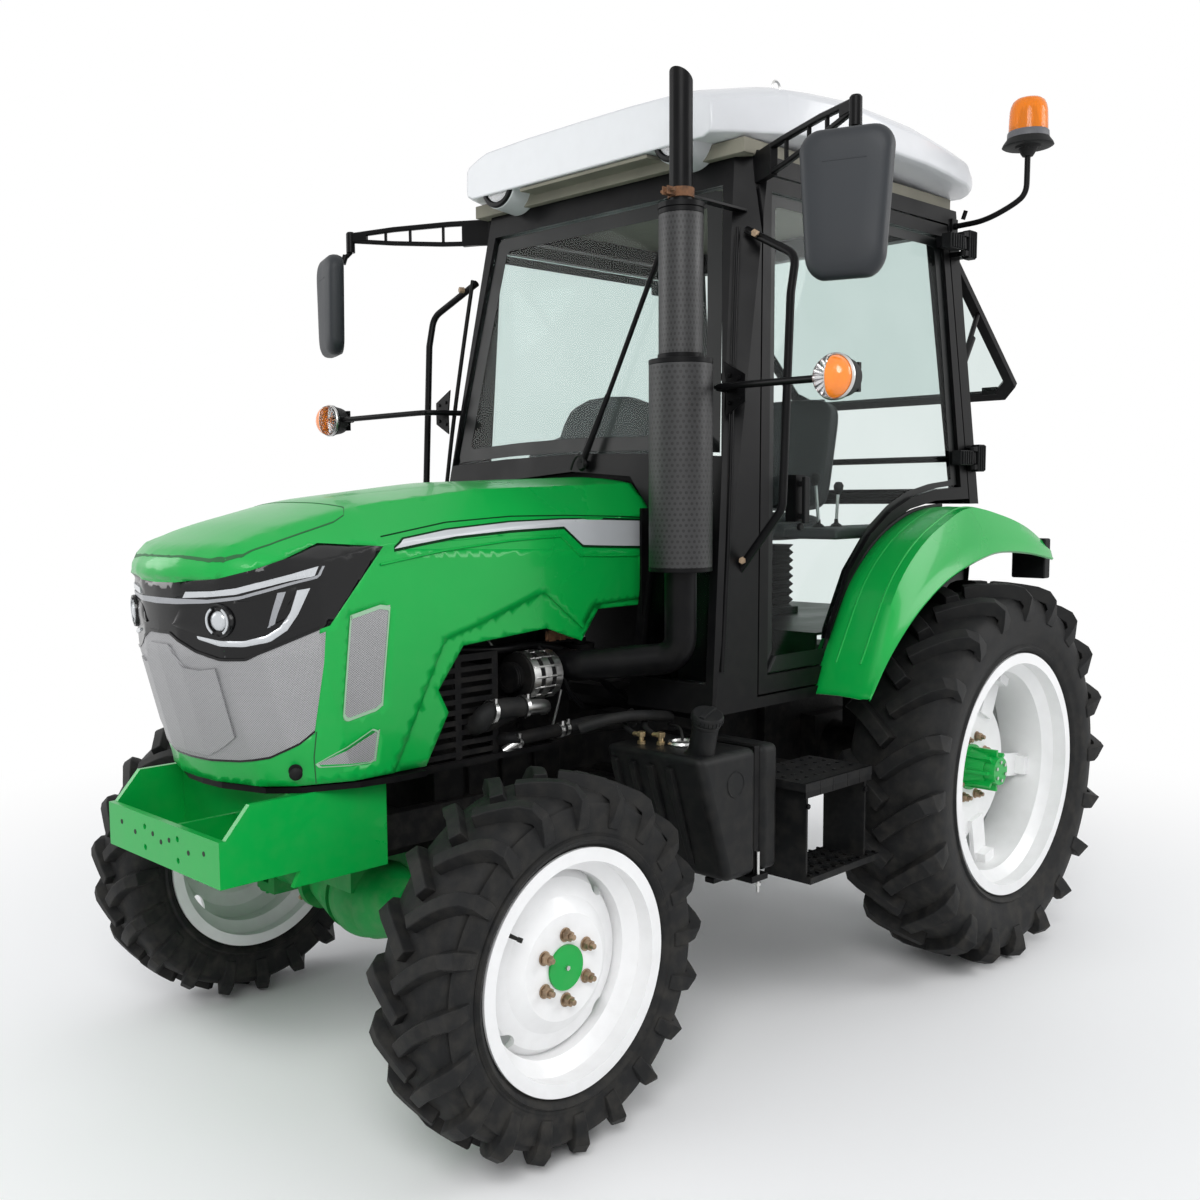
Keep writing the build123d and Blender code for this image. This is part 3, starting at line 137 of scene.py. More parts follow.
# The camera stands ahead of the left front wheel, at about the height of a person's chest.
# It looks back across the tractor, so that its front and its left side both show.
low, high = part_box("front_tyre_left")
F = (low[0] + high[0]) / 2
low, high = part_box("rear_tyre_left")
R = (low[0] + high[0]) / 2
SIDES = (("left", 1), ("right", -1))
camera_data = bpy.data.cameras.new("camera")
camera_data.sensor_width = 36
camera_data.lens = 37.67
camera_data.shift_x = 0.0515
camera_data.shift_y = 0.016
camera = bpy.data.objects.new("camera", camera_data)
scene.collection.objects.link(camera)
scene.camera = camera
turn, tilt, roll = math.radians(226.45), math.radians(-5.612), math.radians(-0.568)
look = Vector((math.cos(turn) * math.cos(tilt), math.sin(turn) * math.cos(tilt), math.sin(tilt)))
right = look.cross(Vector((0, 0, 1))).normalized()
up = right.cross(look)
across = right * math.cos(roll) + up * math.sin(roll)
upward = up * math.cos(roll) - right * math.sin(roll)
place = Matrix((across, upward, -look)).transposed().to_4x4()
place.translation = Vector((F + 1.916, 2.673, 1.489))
camera.matrix_world = place


# Paint, plastic, metal and rubber share one build: a base colour that drifts over the surface in soft
# patches, a fine grain, and road dust that lies thicker towards the ground.
def blank(name):
    """New material, with its node tree, its shader and the place of a point on the object."""
    material = bpy.data.materials.new(name)
    material.use_nodes = True
    tree = material.node_tree
    coord = tree.nodes.new("ShaderNodeTexCoord")
    return material, tree, tree.nodes["Principled BSDF"], coord.outputs["Object"]


def noise(tree, place, scale, detail=2.0):
    made = tree.nodes.new("ShaderNodeTexNoise")
    made.inputs["Scale"].default_value = scale
    made.inputs["Detail"].default_value = detail
    tree.links.new(place, made.inputs["Vector"])
    return made.outputs["Fac"]


def remap(tree, value, a, b, c, d):
    made = tree.nodes.new("ShaderNodeMapRange")
    for socket, number in zip(("From Min", "From Max", "To Min", "To Max"), (a, b, c, d)):
        made.inputs[socket].default_value = number
    tree.links.new(value, made.inputs["Value"])
    return made.outputs["Result"]


def blend(tree, factor, first, second):
    made = tree.nodes.new("ShaderNodeMix")
    made.data_type = "RGBA"
    for socket, value in (("Factor", factor), ("A", first), ("B", second)):
        put(tree, made.inputs[socket], value)
    return made.outputs["Result"]


def bumped(tree, shader, height, strength, distance):
    bump = tree.nodes.new("ShaderNodeBump")
    for socket, value in (("Strength", strength), ("Distance", distance), ("Height", height)):
        put(tree, bump.inputs[socket], value)
    tree.links.new(bump.outputs["Normal"], shader.inputs["Normal"])


def split_axes(tree, place):
    made = tree.nodes.new("ShaderNodeSeparateXYZ")
    tree.links.new(place, made.inputs[0])
    return made.outputs


def surface(name, colour, rough, metal=0.0, vary=0.10, patch=7.0, grain=300.0, relief=0.05, dust=0.0,
            coat=0.0, dust_top=1.3, shine=0.5):
    material, tree, shader, place = blank(name)
    for socket, value in (("Metallic", metal), ("Coat Weight", coat), ("Coat Roughness", 0.06),
                          ("Specular IOR Level", shine)):
        shader.inputs[socket].default_value = value
    patches = noise(tree, place, patch, 3)
    dark = tuple(c * (1 - vary) for c in colour)
    light = tuple(min(1.0, c * (1 + vary)) for c in colour)
    base = blend(tree, remap(tree, patches, 0.3, 0.7, 0, 1), dark, light)
    roughness = remap(tree, patches, 0.3, 0.7, max(0.02, rough - 0.05), min(1.0, rough + 0.06))
    if dust:
        lower = remap(tree, split_axes(tree, place)["Z"], 0.0, dust_top, 1.0, 0.15)
        speckle = remap(tree, noise(tree, place, 26.0, 6), 0.42, 0.72, 0.0, dust)
        amount = maths(tree, "MULTIPLY", lower, speckle)
        base = blend(tree, amount, base, (0.30, 0.27, 0.22))
        roughness = maths(tree, "ADD", roughness, amount)
    tree.links.new(base, shader.inputs["Base Color"])
    tree.links.new(roughness, shader.inputs["Roughness"])
    bumped(tree, shader, noise(tree, place, grain, 4), relief, 0.002)
    return material


def dress(material, *names):
    for name in names:
        for found in [n for n in nodes if n == name or n.startswith(name + "_")]:
            for slot in nodes[found].material_slots:
                slot.material = material


green = surface("green_paint", (0.002, 0.365, 0.056), 0.30, vary=0.05, patch=2.5, relief=0.02, dust=0.05,
                coat=0.2, shine=0.25)
cast_green = surface("green_casting", (0.003, 0.24, 0.042), 0.45, vary=0.12, patch=9, grain=120,
                     relief=0.25, dust=0.20, shine=0.25)
black = surface("black_paint", (0.004, 0.004, 0.0045), 0.36, vary=0.2, relief=0.05, dust=0.03, shine=0.10)
plastic = surface("black_plastic", (0.007, 0.0075, 0.008), 0.52, vary=0.15, grain=500, relief=0.25,
                  dust=0.05, shine=0.14)
casting = surface("black_casting", (0.005, 0.005, 0.0055), 0.6, vary=0.3, grain=150, relief=0.4, dust=0.08,
                  shine=0.12)
wheel_white = surface("white_paint", (0.84, 0.84, 0.84), 0.32, vary=0.03, relief=0.03, dust=0.08, coat=0.3,
                      dust_top=1.0)
rubber = surface("tyre_rubber", (0.0115, 0.0118, 0.0122), 0.62, vary=0.18, grain=220, relief=0.22,
                 dust=0.08, shine=0.18)
steel = surface("bright_steel", (0.60, 0.60, 0.59), 0.32, metal=1.0, vary=0.10, relief=0.08)
rust = surface("plated_bolt", (0.33, 0.24, 0.16), 0.45, metal=0.8, vary=0.35, patch=60, relief=0.2)
roof_white = surface("roof_white", (0.62, 0.63, 0.65), 0.35, vary=0.03, relief=0.03, dust=0.05, coat=0.3,
                     dust_top=4)
gloss_black = surface("gloss_black", (0.006, 0.006, 0.0065), 0.16, vary=0.1, relief=0.01, shine=0.3)
amber = surface("amber_lens", (0.95, 0.30, 0.01), 0.15, vary=0.10, patch=30, relief=0.1, coat=0.6)
vinyl = surface("seat_vinyl", (0.02, 0.022, 0.024), 0.6, vary=0.2, grain=400, relief=0.4)
silver = surface("silver_trim", (0.66, 0.67, 0.68), 0.28, metal=0.85, vary=0.05, relief=0.02)

glass, tree, shader, place = blank("tinted_glass")
shader.inputs["Transmission Weight"].default_value = 1.0
shader.inputs["IOR"].default_value = 1.12
haze = noise(tree, place, 3.0)
put(tree, shader.inputs["Base Color"], blend(tree, haze, (0.70, 0.78, 0.76), (0.78, 0.85, 0.835)))
put(tree, shader.inputs["Roughness"], remap(tree, haze, 0.0, 1.0, 0.0, 0.06))

dress(rubber, "front_tyre", "rear_tyre")
dress(wheel_white, "front_rim", "rear_rim")
dress(green, "front_hub", "rear_hub", "weight_carrier", "bonnet_shell", "fenders")
dress(cast_green, "front_axle", "knuckle")
dress(casting, "engine_block", "gearbox", "front_support", "rear_axle", "side_beams", "radiator",
      "engine_fittings")
dress(black, "cab_frame", "door", "firewall", "cab_floor", "exhaust", "grab_rails", "beacon", "turn_lamps",
      "wiper", "hitch", "bonnet_rest", "rear_window", "tie_rod")
dress(glass, "front_glass", "door_glass", "rear_glass")
dress(plastic, "mirrors", "fuel_tank", "battery_box", "steps", "dashboard", "steering_wheel")
dress(vinyl, "seat", "seat_cushion", "seat_back", "seat_base")
dress(roof_white, "roof")
dress(gloss_black, "lamp_band")
dress(silver, "bonnet_screens", "bonnet_stripes", "headlamps", "roof_lamps")
dress(amber, "rear_lamps")


# Every made piece is gathered in a builder of faces, then closed into one object that rides on a body.
def close(name, builder, material, body="chassis", sharp=35, bevel=0.0, segments=2):
    bmesh.ops.remove_doubles(builder, verts=builder.verts, dist=1e-5)
    bmesh.ops.recalc_face_normals(builder, faces=builder.faces)
    made = bpy.data.meshes.new(name)
    builder.to_mesh(made)
    builder.free()
    made.polygons.foreach_set("use_smooth", [True] * len(made.polygons))
    made.set_sharp_from_angle(angle=math.radians(sharp))
    made.materials.append(material)
    piece = bpy.data.objects.new(name, made)
    scene.collection.objects.link(piece)
    if bevel:
        rounding = piece.modifiers.new("edges", "BEVEL")
        rounding.width = bevel
        rounding.segments = segments
        rounding.limit_method = "ANGLE"
        rounding.angle_limit = math.radians(35)
        rounding.harden_normals = True
    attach(piece, body)
    return piece


def placed(points, sign=1):
    """Points given from the front axle, on the left for sign 1 and mirrored to the right for -1."""
    return [(F + x, sign * y, z) for x, y, z in points]


def around(count, first=0.0):
    """Cosine and sine of evenly spaced angles."""
    angles = [math.tau * i / count + first for i in range(count)]
    return [(math.cos(angle), math.sin(angle)) for angle in angles]


def box(builder, x0, x1, y0, y1, z0, z1):
    shape = Matrix.Translation(((x0 + x1) / 2, (y0 + y1) / 2, (z0 + z1) / 2))
    shape = shape @ Matrix.Diagonal((abs(x1 - x0), abs(y1 - y0), abs(z1 - z0), 1))
    bmesh.ops.create_cube(builder, size=1.0, matrix=shape)


def rod(builder, p, q, r, r_end=None, sides=24):
    p, q = Vector(p), Vector(q)
    shape = Matrix.Translation((p + q) / 2) @ (q - p).to_track_quat("Z", "Y").to_matrix().to_4x4()
    bmesh.ops.create_cone(builder, cap_ends=True, segments=sides, radius1=r,
                          radius2=r if r_end is None else r_end, depth=(q - p).length, matrix=shape)


def turned(builder, outline, centre, axis=(0, 1, 0), steps=96):
    """Full turn of an outline of (radius, distance along the axis) about a line through centre."""
    axis = Vector(axis).normalized()
    side = axis.orthogonal().normalized()
    corners = [builder.verts.new(Vector(centre) + side * radius + axis * along) for radius, along in outline]
    edges = [builder.edges.new((corners[i], corners[i + 1])) for i in range(len(corners) - 1)]
    bmesh.ops.spin(builder, geom=corners + edges, cent=centre, axis=axis, angle=math.tau, steps=steps,
                   use_merge=True)


def spun(name, material, outline, centre, axis=(0, 0, 1), body="chassis", steps=48, sharp=35, **edges):
    """Piece made of one outline turned about a line."""
    builder = bmesh.new()
    turned(builder, outline, centre, axis, steps=steps)
    return close(name, builder, material, body, sharp=sharp, **edges)


def loop_faces(builder, rings):
    """Skins a row of rings of equal length and closes both ends."""
    made = [[builder.verts.new(point) for point in ring] for ring in rings]
    count = len(made[0])
    for first, second in zip(made, made[1:]):
        for i in range(count):
            builder.faces.new((first[i], first[(i + 1) % count], second[(i + 1) % count], second[i]))
    builder.faces.new(made[0])
    builder.faces.new(list(reversed(made[-1])))


def pipe(name, points, radius, material, body="chassis"):
    """Smooth round pipe, hose or bar along a row of points."""
    curve = bpy.data.curves.new(name, "CURVE")
    curve.dimensions = "3D"
    curve.bevel_depth = radius
    curve.bevel_resolution = 4
    curve.resolution_u = 8
    curve.use_fill_caps = True
    spline = curve.splines.new("NURBS")
    spline.points.add(len(points) - 1)
    for target, point in zip(spline.points, points):
        target.co = (*point, 1)
    spline.order_u = 3
    spline.use_endpoint_u = True
    curve.materials.append(material)
    piece = bpy.data.objects.new(name, curve)
    scene.collection.objects.link(piece)
    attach(piece, body)
    return piece


# The tyres are rubber on steel rims: a smooth carcass with a guard ring beside the rim and two rows of
# cleats that lean from the middle of the tread over the shoulder and down the side.
TYRES = (  # end, seat radius, flange radius, half width of the rim, lug height, cleat's half width
    ("front", 0.254, 0.278, 0.100, 0.027, 0.0150),
    ("rear", 0.356, 0.381, 0.125, 0.034, 0.0200),
)
for end, seat, flange, rim_half, lug, half_bar in TYRES:
    for side in ("left", "right"):
        low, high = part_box(f"{end}_tyre_{side}")
        centre = (Vector(low) + Vector(high)) / 2
        outer = (high[2] - low[2]) / 2 - 0.001
        half = (high[1] - low[1]) / 2 * 0.925
        crown = outer - lug
        belly = seat + 0.5 * (outer - seat)
        flank = [(flange + 0.004, rim_half - 0.001), (flange + 0.012, rim_half + 0.012),
                 (flange + 0.020, rim_half + 0.016), (flange + 0.026, rim_half + 0.010),
                 (flange + 0.032, rim_half + 0.012), (belly - 0.045, half * 0.965),
                 (belly - 0.040, half * 0.985), (belly, half), (belly + 0.03, half * 0.99),
                 (belly + 0.034, half * 0.975), (crown - 0.045, half * 0.955), (crown - 0.026, half * 0.90),
                 (crown - 0.012, half * 0.80), (crown - 0.004, half * 0.5), (crown, 0)]
        outline = [(seat + 0.001, -rim_half + 0.001), (seat + 0.001, rim_half - 0.001)]
        outline += flank + [(r, -y) for r, y in reversed(flank[:-1])] + [outline[0]]
        spun(f"{end}_tyre_carcass_{side}", rubber, outline, centre, (0, 1, 0), body=f"wheel_{end}_{side}",
             steps=120, sharp=50)
        # a cleat's sections: across the tread, radius below the crown, outward lean, height, width
        sections = ((-0.05, 0.0, 0.0, lug, 1.0), (0.2, 0.0, 0.0, lug, 1.0), (0.45, 0.001, 0.0, lug, 1.0),
                    (0.68, 0.003, 0.08, lug, 1.05), (0.86, 0.012, 0.25, lug, 1.12),
                    (0.965, 0.030, 0.7, lug * 0.85, 1.2), (0.995, 0.055, 1.35, lug * 0.42, 1.15),
                    (0.995, 0.085, 1.5, lug * 0.12, 1.05))
        builder = bmesh.new()
        sweep = 0.80 * half / outer
        for row in (1, -1):
            for i in range(20):
                start = math.tau * (i + (0.25 if row > 0 else -0.25)) / 20
                rings = []
                for across, drop, lean, height, wide in sections:
                    turn = start + sweep * (0.5 - min(1.0, across ** 0.92 if across > 0 else across))
                    outward = Vector((math.sin(turn), 0, math.cos(turn)))
                    forward = Vector((math.cos(turn), 0, -math.sin(turn)))
                    sideways = Vector((0, row, 0))
                    normal = outward * math.cos(lean) + sideways * math.sin(lean)
                    spread = (forward * 0.78 + sideways * 0.62 * math.cos(lean) ** 2).normalized()
                    point = centre + outward * (crown - drop) + sideways * half * across
                    wide *= half_bar
                    rings.append([point - normal * 0.012 - spread * (wide + 0.007),
                                  point - normal * 0.012 + spread * (wide + 0.007),
                                  point + normal * height + spread * wide,
                                  point + normal * height - spread * wide])
                loop_faces(builder, rings)
        cleats = close(f"{end}_tyre_cleats_{side}", builder, rubber, f"wheel_{end}_{side}", sharp=30,
                       bevel=0.003)
        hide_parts(f"{end}_tyre_{side}")

# The wheels are pressed and rolled steel, painted white. The nuts are zinc plated and have begun to rust.
# A small valve stands out of each rim.
NUTS = (  # end, disc face from the tyre's middle, number, circle radius, first angle
    ("front", 0.064, 6, 0.075, 90.0),
    ("rear", -0.026, 8, 0.1015, 22.5),
)
for end, face, count, circle, first in NUTS:
    for side, out in SIDES:
        low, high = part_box(f"{end}_tyre_{side}")
        middle = (Vector(low) + Vector(high)) / 2
        builder = bmesh.new()
        for c, s in around(count, math.radians(first)):
            spot = middle + Vector((circle * c, out * face, circle * s))
            outward = Vector((0, out, 0))
            rod(builder, spot, spot + outward * 0.0035, 0.0165, sides=28)
            rod(builder, spot + outward * 0.0035, spot + outward * 0.019, 0.0135, 0.0130, sides=6)
            rod(builder, spot + outward * 0.019, spot + outward * 0.030, 0.0075, 0.0065, sides=20)
        close(f"{end}_wheel_nuts_{side}", builder, rust, f"wheel_{end}_{side}", bevel=0.0012)
        builder = bmesh.new()
        well = 0.222 if end == "front" else 0.325
        outward = Vector((math.cos(0.6), 0, math.sin(0.6)))
        spot = middle + outward * well + Vector((0, out * (face - 0.012), 0))
        tip = spot - outward * 0.022 + Vector((0, out * 0.036, 0))
        rod(builder, spot, tip, 0.006, 0.004, sides=16)
        rod(builder, tip, tip + (tip - spot) * 0.25, 0.0055, sides=16)
        close(f"{end}_valve_{side}", builder, rubber, f"wheel_{end}_{side}")
        builder = bmesh.new()
        hub_low, hub_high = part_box(f"{end}_hub_{side}")
        tip_y = hub_high[1] if out > 0 else hub_low[1]
        screws, reach = (1, 0.0) if end == "front" else (6, 0.030)
        for c, s in around(screws, 0.4):
            spot = Vector((middle.x + reach * c, tip_y - out * 0.001, middle.z + reach * s))
            rod(builder, spot, spot + Vector((0, out * 0.006, 0)), 0.006, sides=6)
        close(f"{end}_hub_screws_{side}", builder, steel, f"wheel_{end}_{side}")


# Trim that follows a painted panel is laid on it: each of its points is thrown onto the panel from outside,
# lifted clear by a hair, and given a thickness.
def softened(name, node, material, spacing=0.030, cuts=5, rounds=4, kept=math.radians(52), flank=0.304):
    """Copy of a CAD node with its shallow ridges eased between the flanks; steps and openings stay."""
    builder = bmesh.new()
    builder.from_mesh(nodes[node].data)
    bmesh.ops.remove_doubles(builder, verts=builder.verts, dist=1e-5)
    bmesh.ops.dissolve_degenerate(builder, edges=builder.edges, dist=1e-5)
    for edge in builder.edges:
        edge.smooth = edge.is_manifold and edge.calc_face_angle() < kept
    for _ in range(cuts):
        long = [edge for edge in builder.edges if edge.calc_length() > spacing]
        bmesh.ops.subdivide_edges(builder, edges=long, cuts=1)
        bmesh.ops.triangulate(builder, faces=[face for face in builder.faces if len(face.verts) > 3])
    held = {vertex for edge in builder.edges if not edge.smooth or not edge.is_manifold
            or edge.calc_face_angle() > kept for vertex in edge.verts}
    loose = [vertex for vertex in builder.verts if vertex not in held and abs(vertex.co.y) < flank]
    for _ in range(rounds):
        bmesh.ops.smooth_vert(builder, verts=loose, factor=0.5, use_axis_x=True, use_axis_y=True,
                              use_axis_z=True)
    for edge in builder.edges:
        edge.smooth = True
    piece = close(name, builder, material, "bonnet", sharp=30)
    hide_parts(node)
    return piece


def panel_tree(*names):
    corners, faces = [], []
    for name in names:
        mesh = nodes[name].data if name in nodes else bpy.data.objects[name].data
        start = len(corners)
        corners += [Vector(vertex.co) for vertex in mesh.vertices]
        faces += [tuple(start + index for index in polygon.vertices) for polygon in mesh.polygons]
    return BVHTree.FromPolygons(corners, faces)


def resample(line, count):
    line = [Vector(point) for point in line]
    lengths = [0.0]
    for a, b in zip(line, line[1:]):
        lengths.append(lengths[-1] + (b - a).length)
    row = []
    for i in range(count):
        target = lengths[-1] * i / (count - 1)
        k = min(len(line) - 2, max(j for j in range(len(lengths)) if lengths[j] <= target + 1e-9))
        span = lengths[k + 1] - lengths[k]
        row.append(line[k].lerp(line[k + 1], (target - lengths[k]) / span if span else 0))
    return row


def outer_face(on, point, outward=None):
    """Where a line from outside first meets the panel near a point, and the panel's direction there."""
    if outward is None:
        outward = Vector((max(0.0, point.x - F - 0.20) * 1.6, point.y, 0.0)).normalized()
    found, normal, _, _ = on.ray_cast(point + outward * 0.12, -outward)
    if found is None or (found - point).length > 0.06:
        found, normal, _, _ = on.find_nearest(point)
    return found, normal if normal.dot(outward) > 0 else -normal


def laid(name, first, second, on, material, body, lift=0.0006, thick=0.0015, steps=(40, 5), sign=1,
         bulge=0.0, outward=None):
    """Strip between two lines of points, laid on a panel, on the left for sign 1."""
    rows = []
    a_line, b_line = resample(first, steps[0]), resample(second, steps[0])
    for a, b in zip(a_line, b_line):
        row = []
        for j in range(steps[1]):
            share = j / (steps[1] - 1)
            point = a.lerp(b, share)
            point = Vector((F + point.x, sign * point.y, point.z))
            found, normal = outer_face(on, point, outward)
            row.append((found, normal, lift + bulge * math.sin(math.pi * share)))
        rows.append(row)
    builder = bmesh.new()
    tops = [[builder.verts.new(found + normal * rise) for found, normal, rise in row] for row in rows]
    bases = [[builder.verts.new(found + normal * (rise - thick)) for found, normal,
              rise in row] for row in rows]
    last, end = steps[0] - 1, steps[1] - 1
    for i in range(last):
        for j in range(end):
            builder.faces.new((tops[i][j], tops[i + 1][j], tops[i + 1][j + 1], tops[i][j + 1]))
            builder.faces.new((bases[i][j], bases[i][j + 1], bases[i + 1][j + 1], bases[i + 1][j]))
        builder.faces.new((tops[i][0], bases[i][0], bases[i + 1][0], tops[i + 1][0]))
        builder.faces.new((tops[i][end], tops[i + 1][end], bases[i + 1][end], bases[i][end]))
    for j in range(end):
        builder.faces.new((tops[0][j], tops[0][j + 1], bases[0][j + 1], bases[0][j]))
        builder.faces.new((tops[last][j], bases[last][j], bases[last][j + 1], tops[last][j + 1]))
    return close(name, builder, material, body, sharp=40)


# The bonnet is a painted plastic shell. Its nose carries a gloss black lamp band with light bars and two
# projector lamps; a silver mesh screen fills the space below, and two more are let into each side.
softened("bonnet_skin", "bonnet_shell", green)
softened("lamp_panel", "lamp_band", gloss_black)
hood = panel_tree("bonnet_skin", "lamp_panel", "bonnet_screens", "headlamps", "bonnet_stripes")
lit = surface("light_bar", (0.55, 0.57, 0.59), 0.25, metal=0.3, vary=0.04, relief=0.02, coat=0.3)
rail_and_glint_grey = surface("band_rail", (0.34, 0.35, 0.37), 0.3, metal=0.4, vary=0.05, relief=0.02)
dress(gloss_black, "headlamps")

mesh_screen, tree, shader, place = blank("mesh_screen")
shader.inputs["Metallic"].default_value = 0.55
shader.inputs["Roughness"].default_value = 0.42
axes = split_axes(tree, place)
across = maths(tree, "SUBTRACT", axes["X"], axes["Y"])
waves = []
for lean in (0.75, -0.75):
    slope = maths(tree, "MULTIPLY_ADD", across, lean, axes["Z"])
    waves.append(maths(tree, "SINE", maths(tree, "MULTIPLY", slope, 1150.0)))
wires = remap(tree, maths(tree, "MAXIMUM", *waves), 0.0, 0.7, 0.0, 1.0)
grime = remap(tree, noise(tree, place, 6), 0.3, 0.7, 0.0, 0.22)
wired = blend(tree, wires, (0.20, 0.20, 0.205), (0.42, 0.42, 0.43))
put(tree, shader.inputs["Base Color"], blend(tree, grime, wired, (0.24, 0.24, 0.24)))
bumped(tree, shader, wires, 0.5, 0.001)
dress(mesh_screen, "bonnet_screens")


def moved(line, x, y, z):
    """The same line of points, moved ahead, to the left and up."""
    return [(ahead + x, left + y, up + z) for ahead, left, up in line]


# lines on the nose, ahead of the front axle: y to the left, z above the ground
BAR_TOP = [(0.561, 0.11, 1.284), (0.537, 0.182, 1.287), (0.505, 0.229, 1.294), (0.465, 0.264, 1.307),
           (0.406, 0.292, 1.322), (0.346, 0.312, 1.338)]
BAR_LOW = [(0.564, 0.101, 1.27), (0.541, 0.171, 1.274), (0.505, 0.228, 1.28), (0.466, 0.264, 1.293),
           (0.409, 0.287, 1.307), (0.357, 0.312, 1.317)]
RAIL_TOP = [(0.580, 0.0, 1.268), (0.563, 0.104, 1.268), (0.541, 0.17, 1.268), (0.499, 0.234, 1.276),
            (0.454, 0.269, 1.291), (0.401, 0.29, 1.305), (0.349, 0.312, 1.317), (0.335, 0.312, 1.338)]
RAIL_LOW = [(0.580, 0.0, 1.254), (0.567, 0.092, 1.256), (0.541, 0.17, 1.26), (0.499, 0.234, 1.269),
            (0.45, 0.27, 1.285), (0.397, 0.292, 1.3), (0.344, 0.312, 1.312), (0.329, 0.312, 1.338)]
LED_TOP = [(0.55, 0.135, 1.186), (0.529, 0.195, 1.178), (0.493, 0.236, 1.177), (0.456, 0.266, 1.188),
           (0.427, 0.278, 1.206), (0.406, 0.288, 1.238), (0.391, 0.294, 1.286)]
LED_LOW = [(0.548, 0.14, 1.178), (0.529, 0.194, 1.166), (0.493, 0.235, 1.164), (0.448, 0.269, 1.174),
           (0.413, 0.284, 1.198), (0.39, 0.294, 1.233), (0.364, 0.305, 1.29)]
LENS_TOP = [(0.571, 0.062, 1.211), (0.567, 0.091, 1.246), (0.53, 0.203, 1.256), (0.466, 0.263, 1.268),
            (0.425, 0.28, 1.284), (0.391, 0.294, 1.296)]
LENS_LOW = [(0.571, 0.064, 1.206), (0.551, 0.13, 1.191), (0.525, 0.204, 1.184), (0.487, 0.241, 1.186),
            (0.44, 0.272, 1.210), (0.405, 0.289, 1.262)]
GLINT_A = [(0.455, 0.268, 1.205), (0.432, 0.278, 1.282)]
GLINT_B = [(0.440, 0.274, 1.215), (0.415, 0.285, 1.284)]
for side, sign in SIDES:
    laid(f"light_bar_{side}", BAR_TOP, BAR_LOW, hood, lit, "bonnet", lift=0.0022, thick=0.004, sign=sign)
    laid(f"band_rail_{side}", RAIL_TOP, RAIL_LOW, hood, rail_and_glint_grey, "bonnet", lift=0.0016, thick=0.003,
         sign=sign)
    laid(f"light_strip_{side}", LED_TOP, LED_LOW, hood, lit, "bonnet", lift=0.003, thick=0.005, sign=sign,
         bulge=0.002)
    laid(f"lamp_lens_{side}", LENS_TOP, LENS_LOW, hood, gloss_black, "bonnet", lift=0.0012, thick=0.002,
         sign=sign, steps=(40, 12), bulge=0.003)
    # the thin pale grey strip across each lamp lens is a painted highlight, in the rail's grey
    laid(f"lamp_glint_{side}", GLINT_A, GLINT_B, hood, rail_and_glint_grey, "bonnet", lift=0.0045, thick=0.001,
         sign=sign, steps=(12, 4))
    found, normal = outer_face(hood, Vector((F + 0.530, sign * 0.198, 1.222)))
    spun(f"projector_ring_{side}", gloss_black, [(0.0, 0.001), (0.030, 0.001), (0.034, 0.006),
                                                 (0.038, 0.007), (0.039, 0.003), (0.039, -0.004)],
         found + normal * 0.001, normal, body="bonnet", sharp=30)
    spun(f"projector_bulb_{side}", lit, [(0.0, 0.009), (0.010, 0.0085), (0.018, 0.006), (0.022, 0.001)],
         found + normal * 0.002, normal, body="bonnet", steps=36, sharp=60)
    sideways = normal.cross(Vector((0, 0, 1))).normalized()
    upward = sideways.cross(normal).normalized()
    if upward.z < 0:
        upward = -upward
    for start, label in ((-60, "outer"), (120, "inner")):
        builder = bmesh.new()
        rings = []
        for i in range(13):
            angle = math.radians(start + 10 * i)
            direction = sideways * math.cos(angle) * sign + upward * math.sin(angle)
            spot = found + normal * 0.0075
            rings.append([spot + direction * 0.0275, spot + direction * 0.0325,
                          spot + direction * 0.0325 + normal * 0.0025,
                          spot + direction * 0.0275 + normal * 0.0025])
        loop_faces(builder, rings)
        close(f"projector_arc_{label}_{side}", builder, lit, "bonnet", sharp=30)

# the mesh below the lamps is folded: a flat middle panel stands a little proud between two wings
GRILLE_TOP = [(0.572, 0.0, 1.186), (0.571, 0.046, 1.186), (0.551, 0.126, 1.148), (0.527, 0.189, 1.133),
              (0.49, 0.236, 1.133), (0.345, 0.310, 1.196)]
CHIN = [(0.571, 0.0, 1.215)] + LENS_LOW[:4] + [(0.425, 0.280, 1.190), (0.345, 0.312, 1.215)]
GRILLE_LOW = [(0.510, 0.0, 0.892), (0.499, 0.087, 0.893), (0.473, 0.167, 0.898), (0.435, 0.233, 0.91),
              (0.382, 0.274, 0.94), (0.352, 0.290, 0.966)]
MIDDLE_TOP = [(0.572, 0.0, 1.162), (0.570, 0.043, 1.162), (0.558, 0.084, 1.112), (0.548, 0.128, 1.108),
              (0.524, 0.172, 1.115)]
MIDDLE_LOW = [(0.512, 0.0, 0.905), (0.509, 0.05, 0.905), (0.503, 0.088, 0.905), (0.490, 0.138, 0.930),
              (0.478, 0.172, 0.955)]
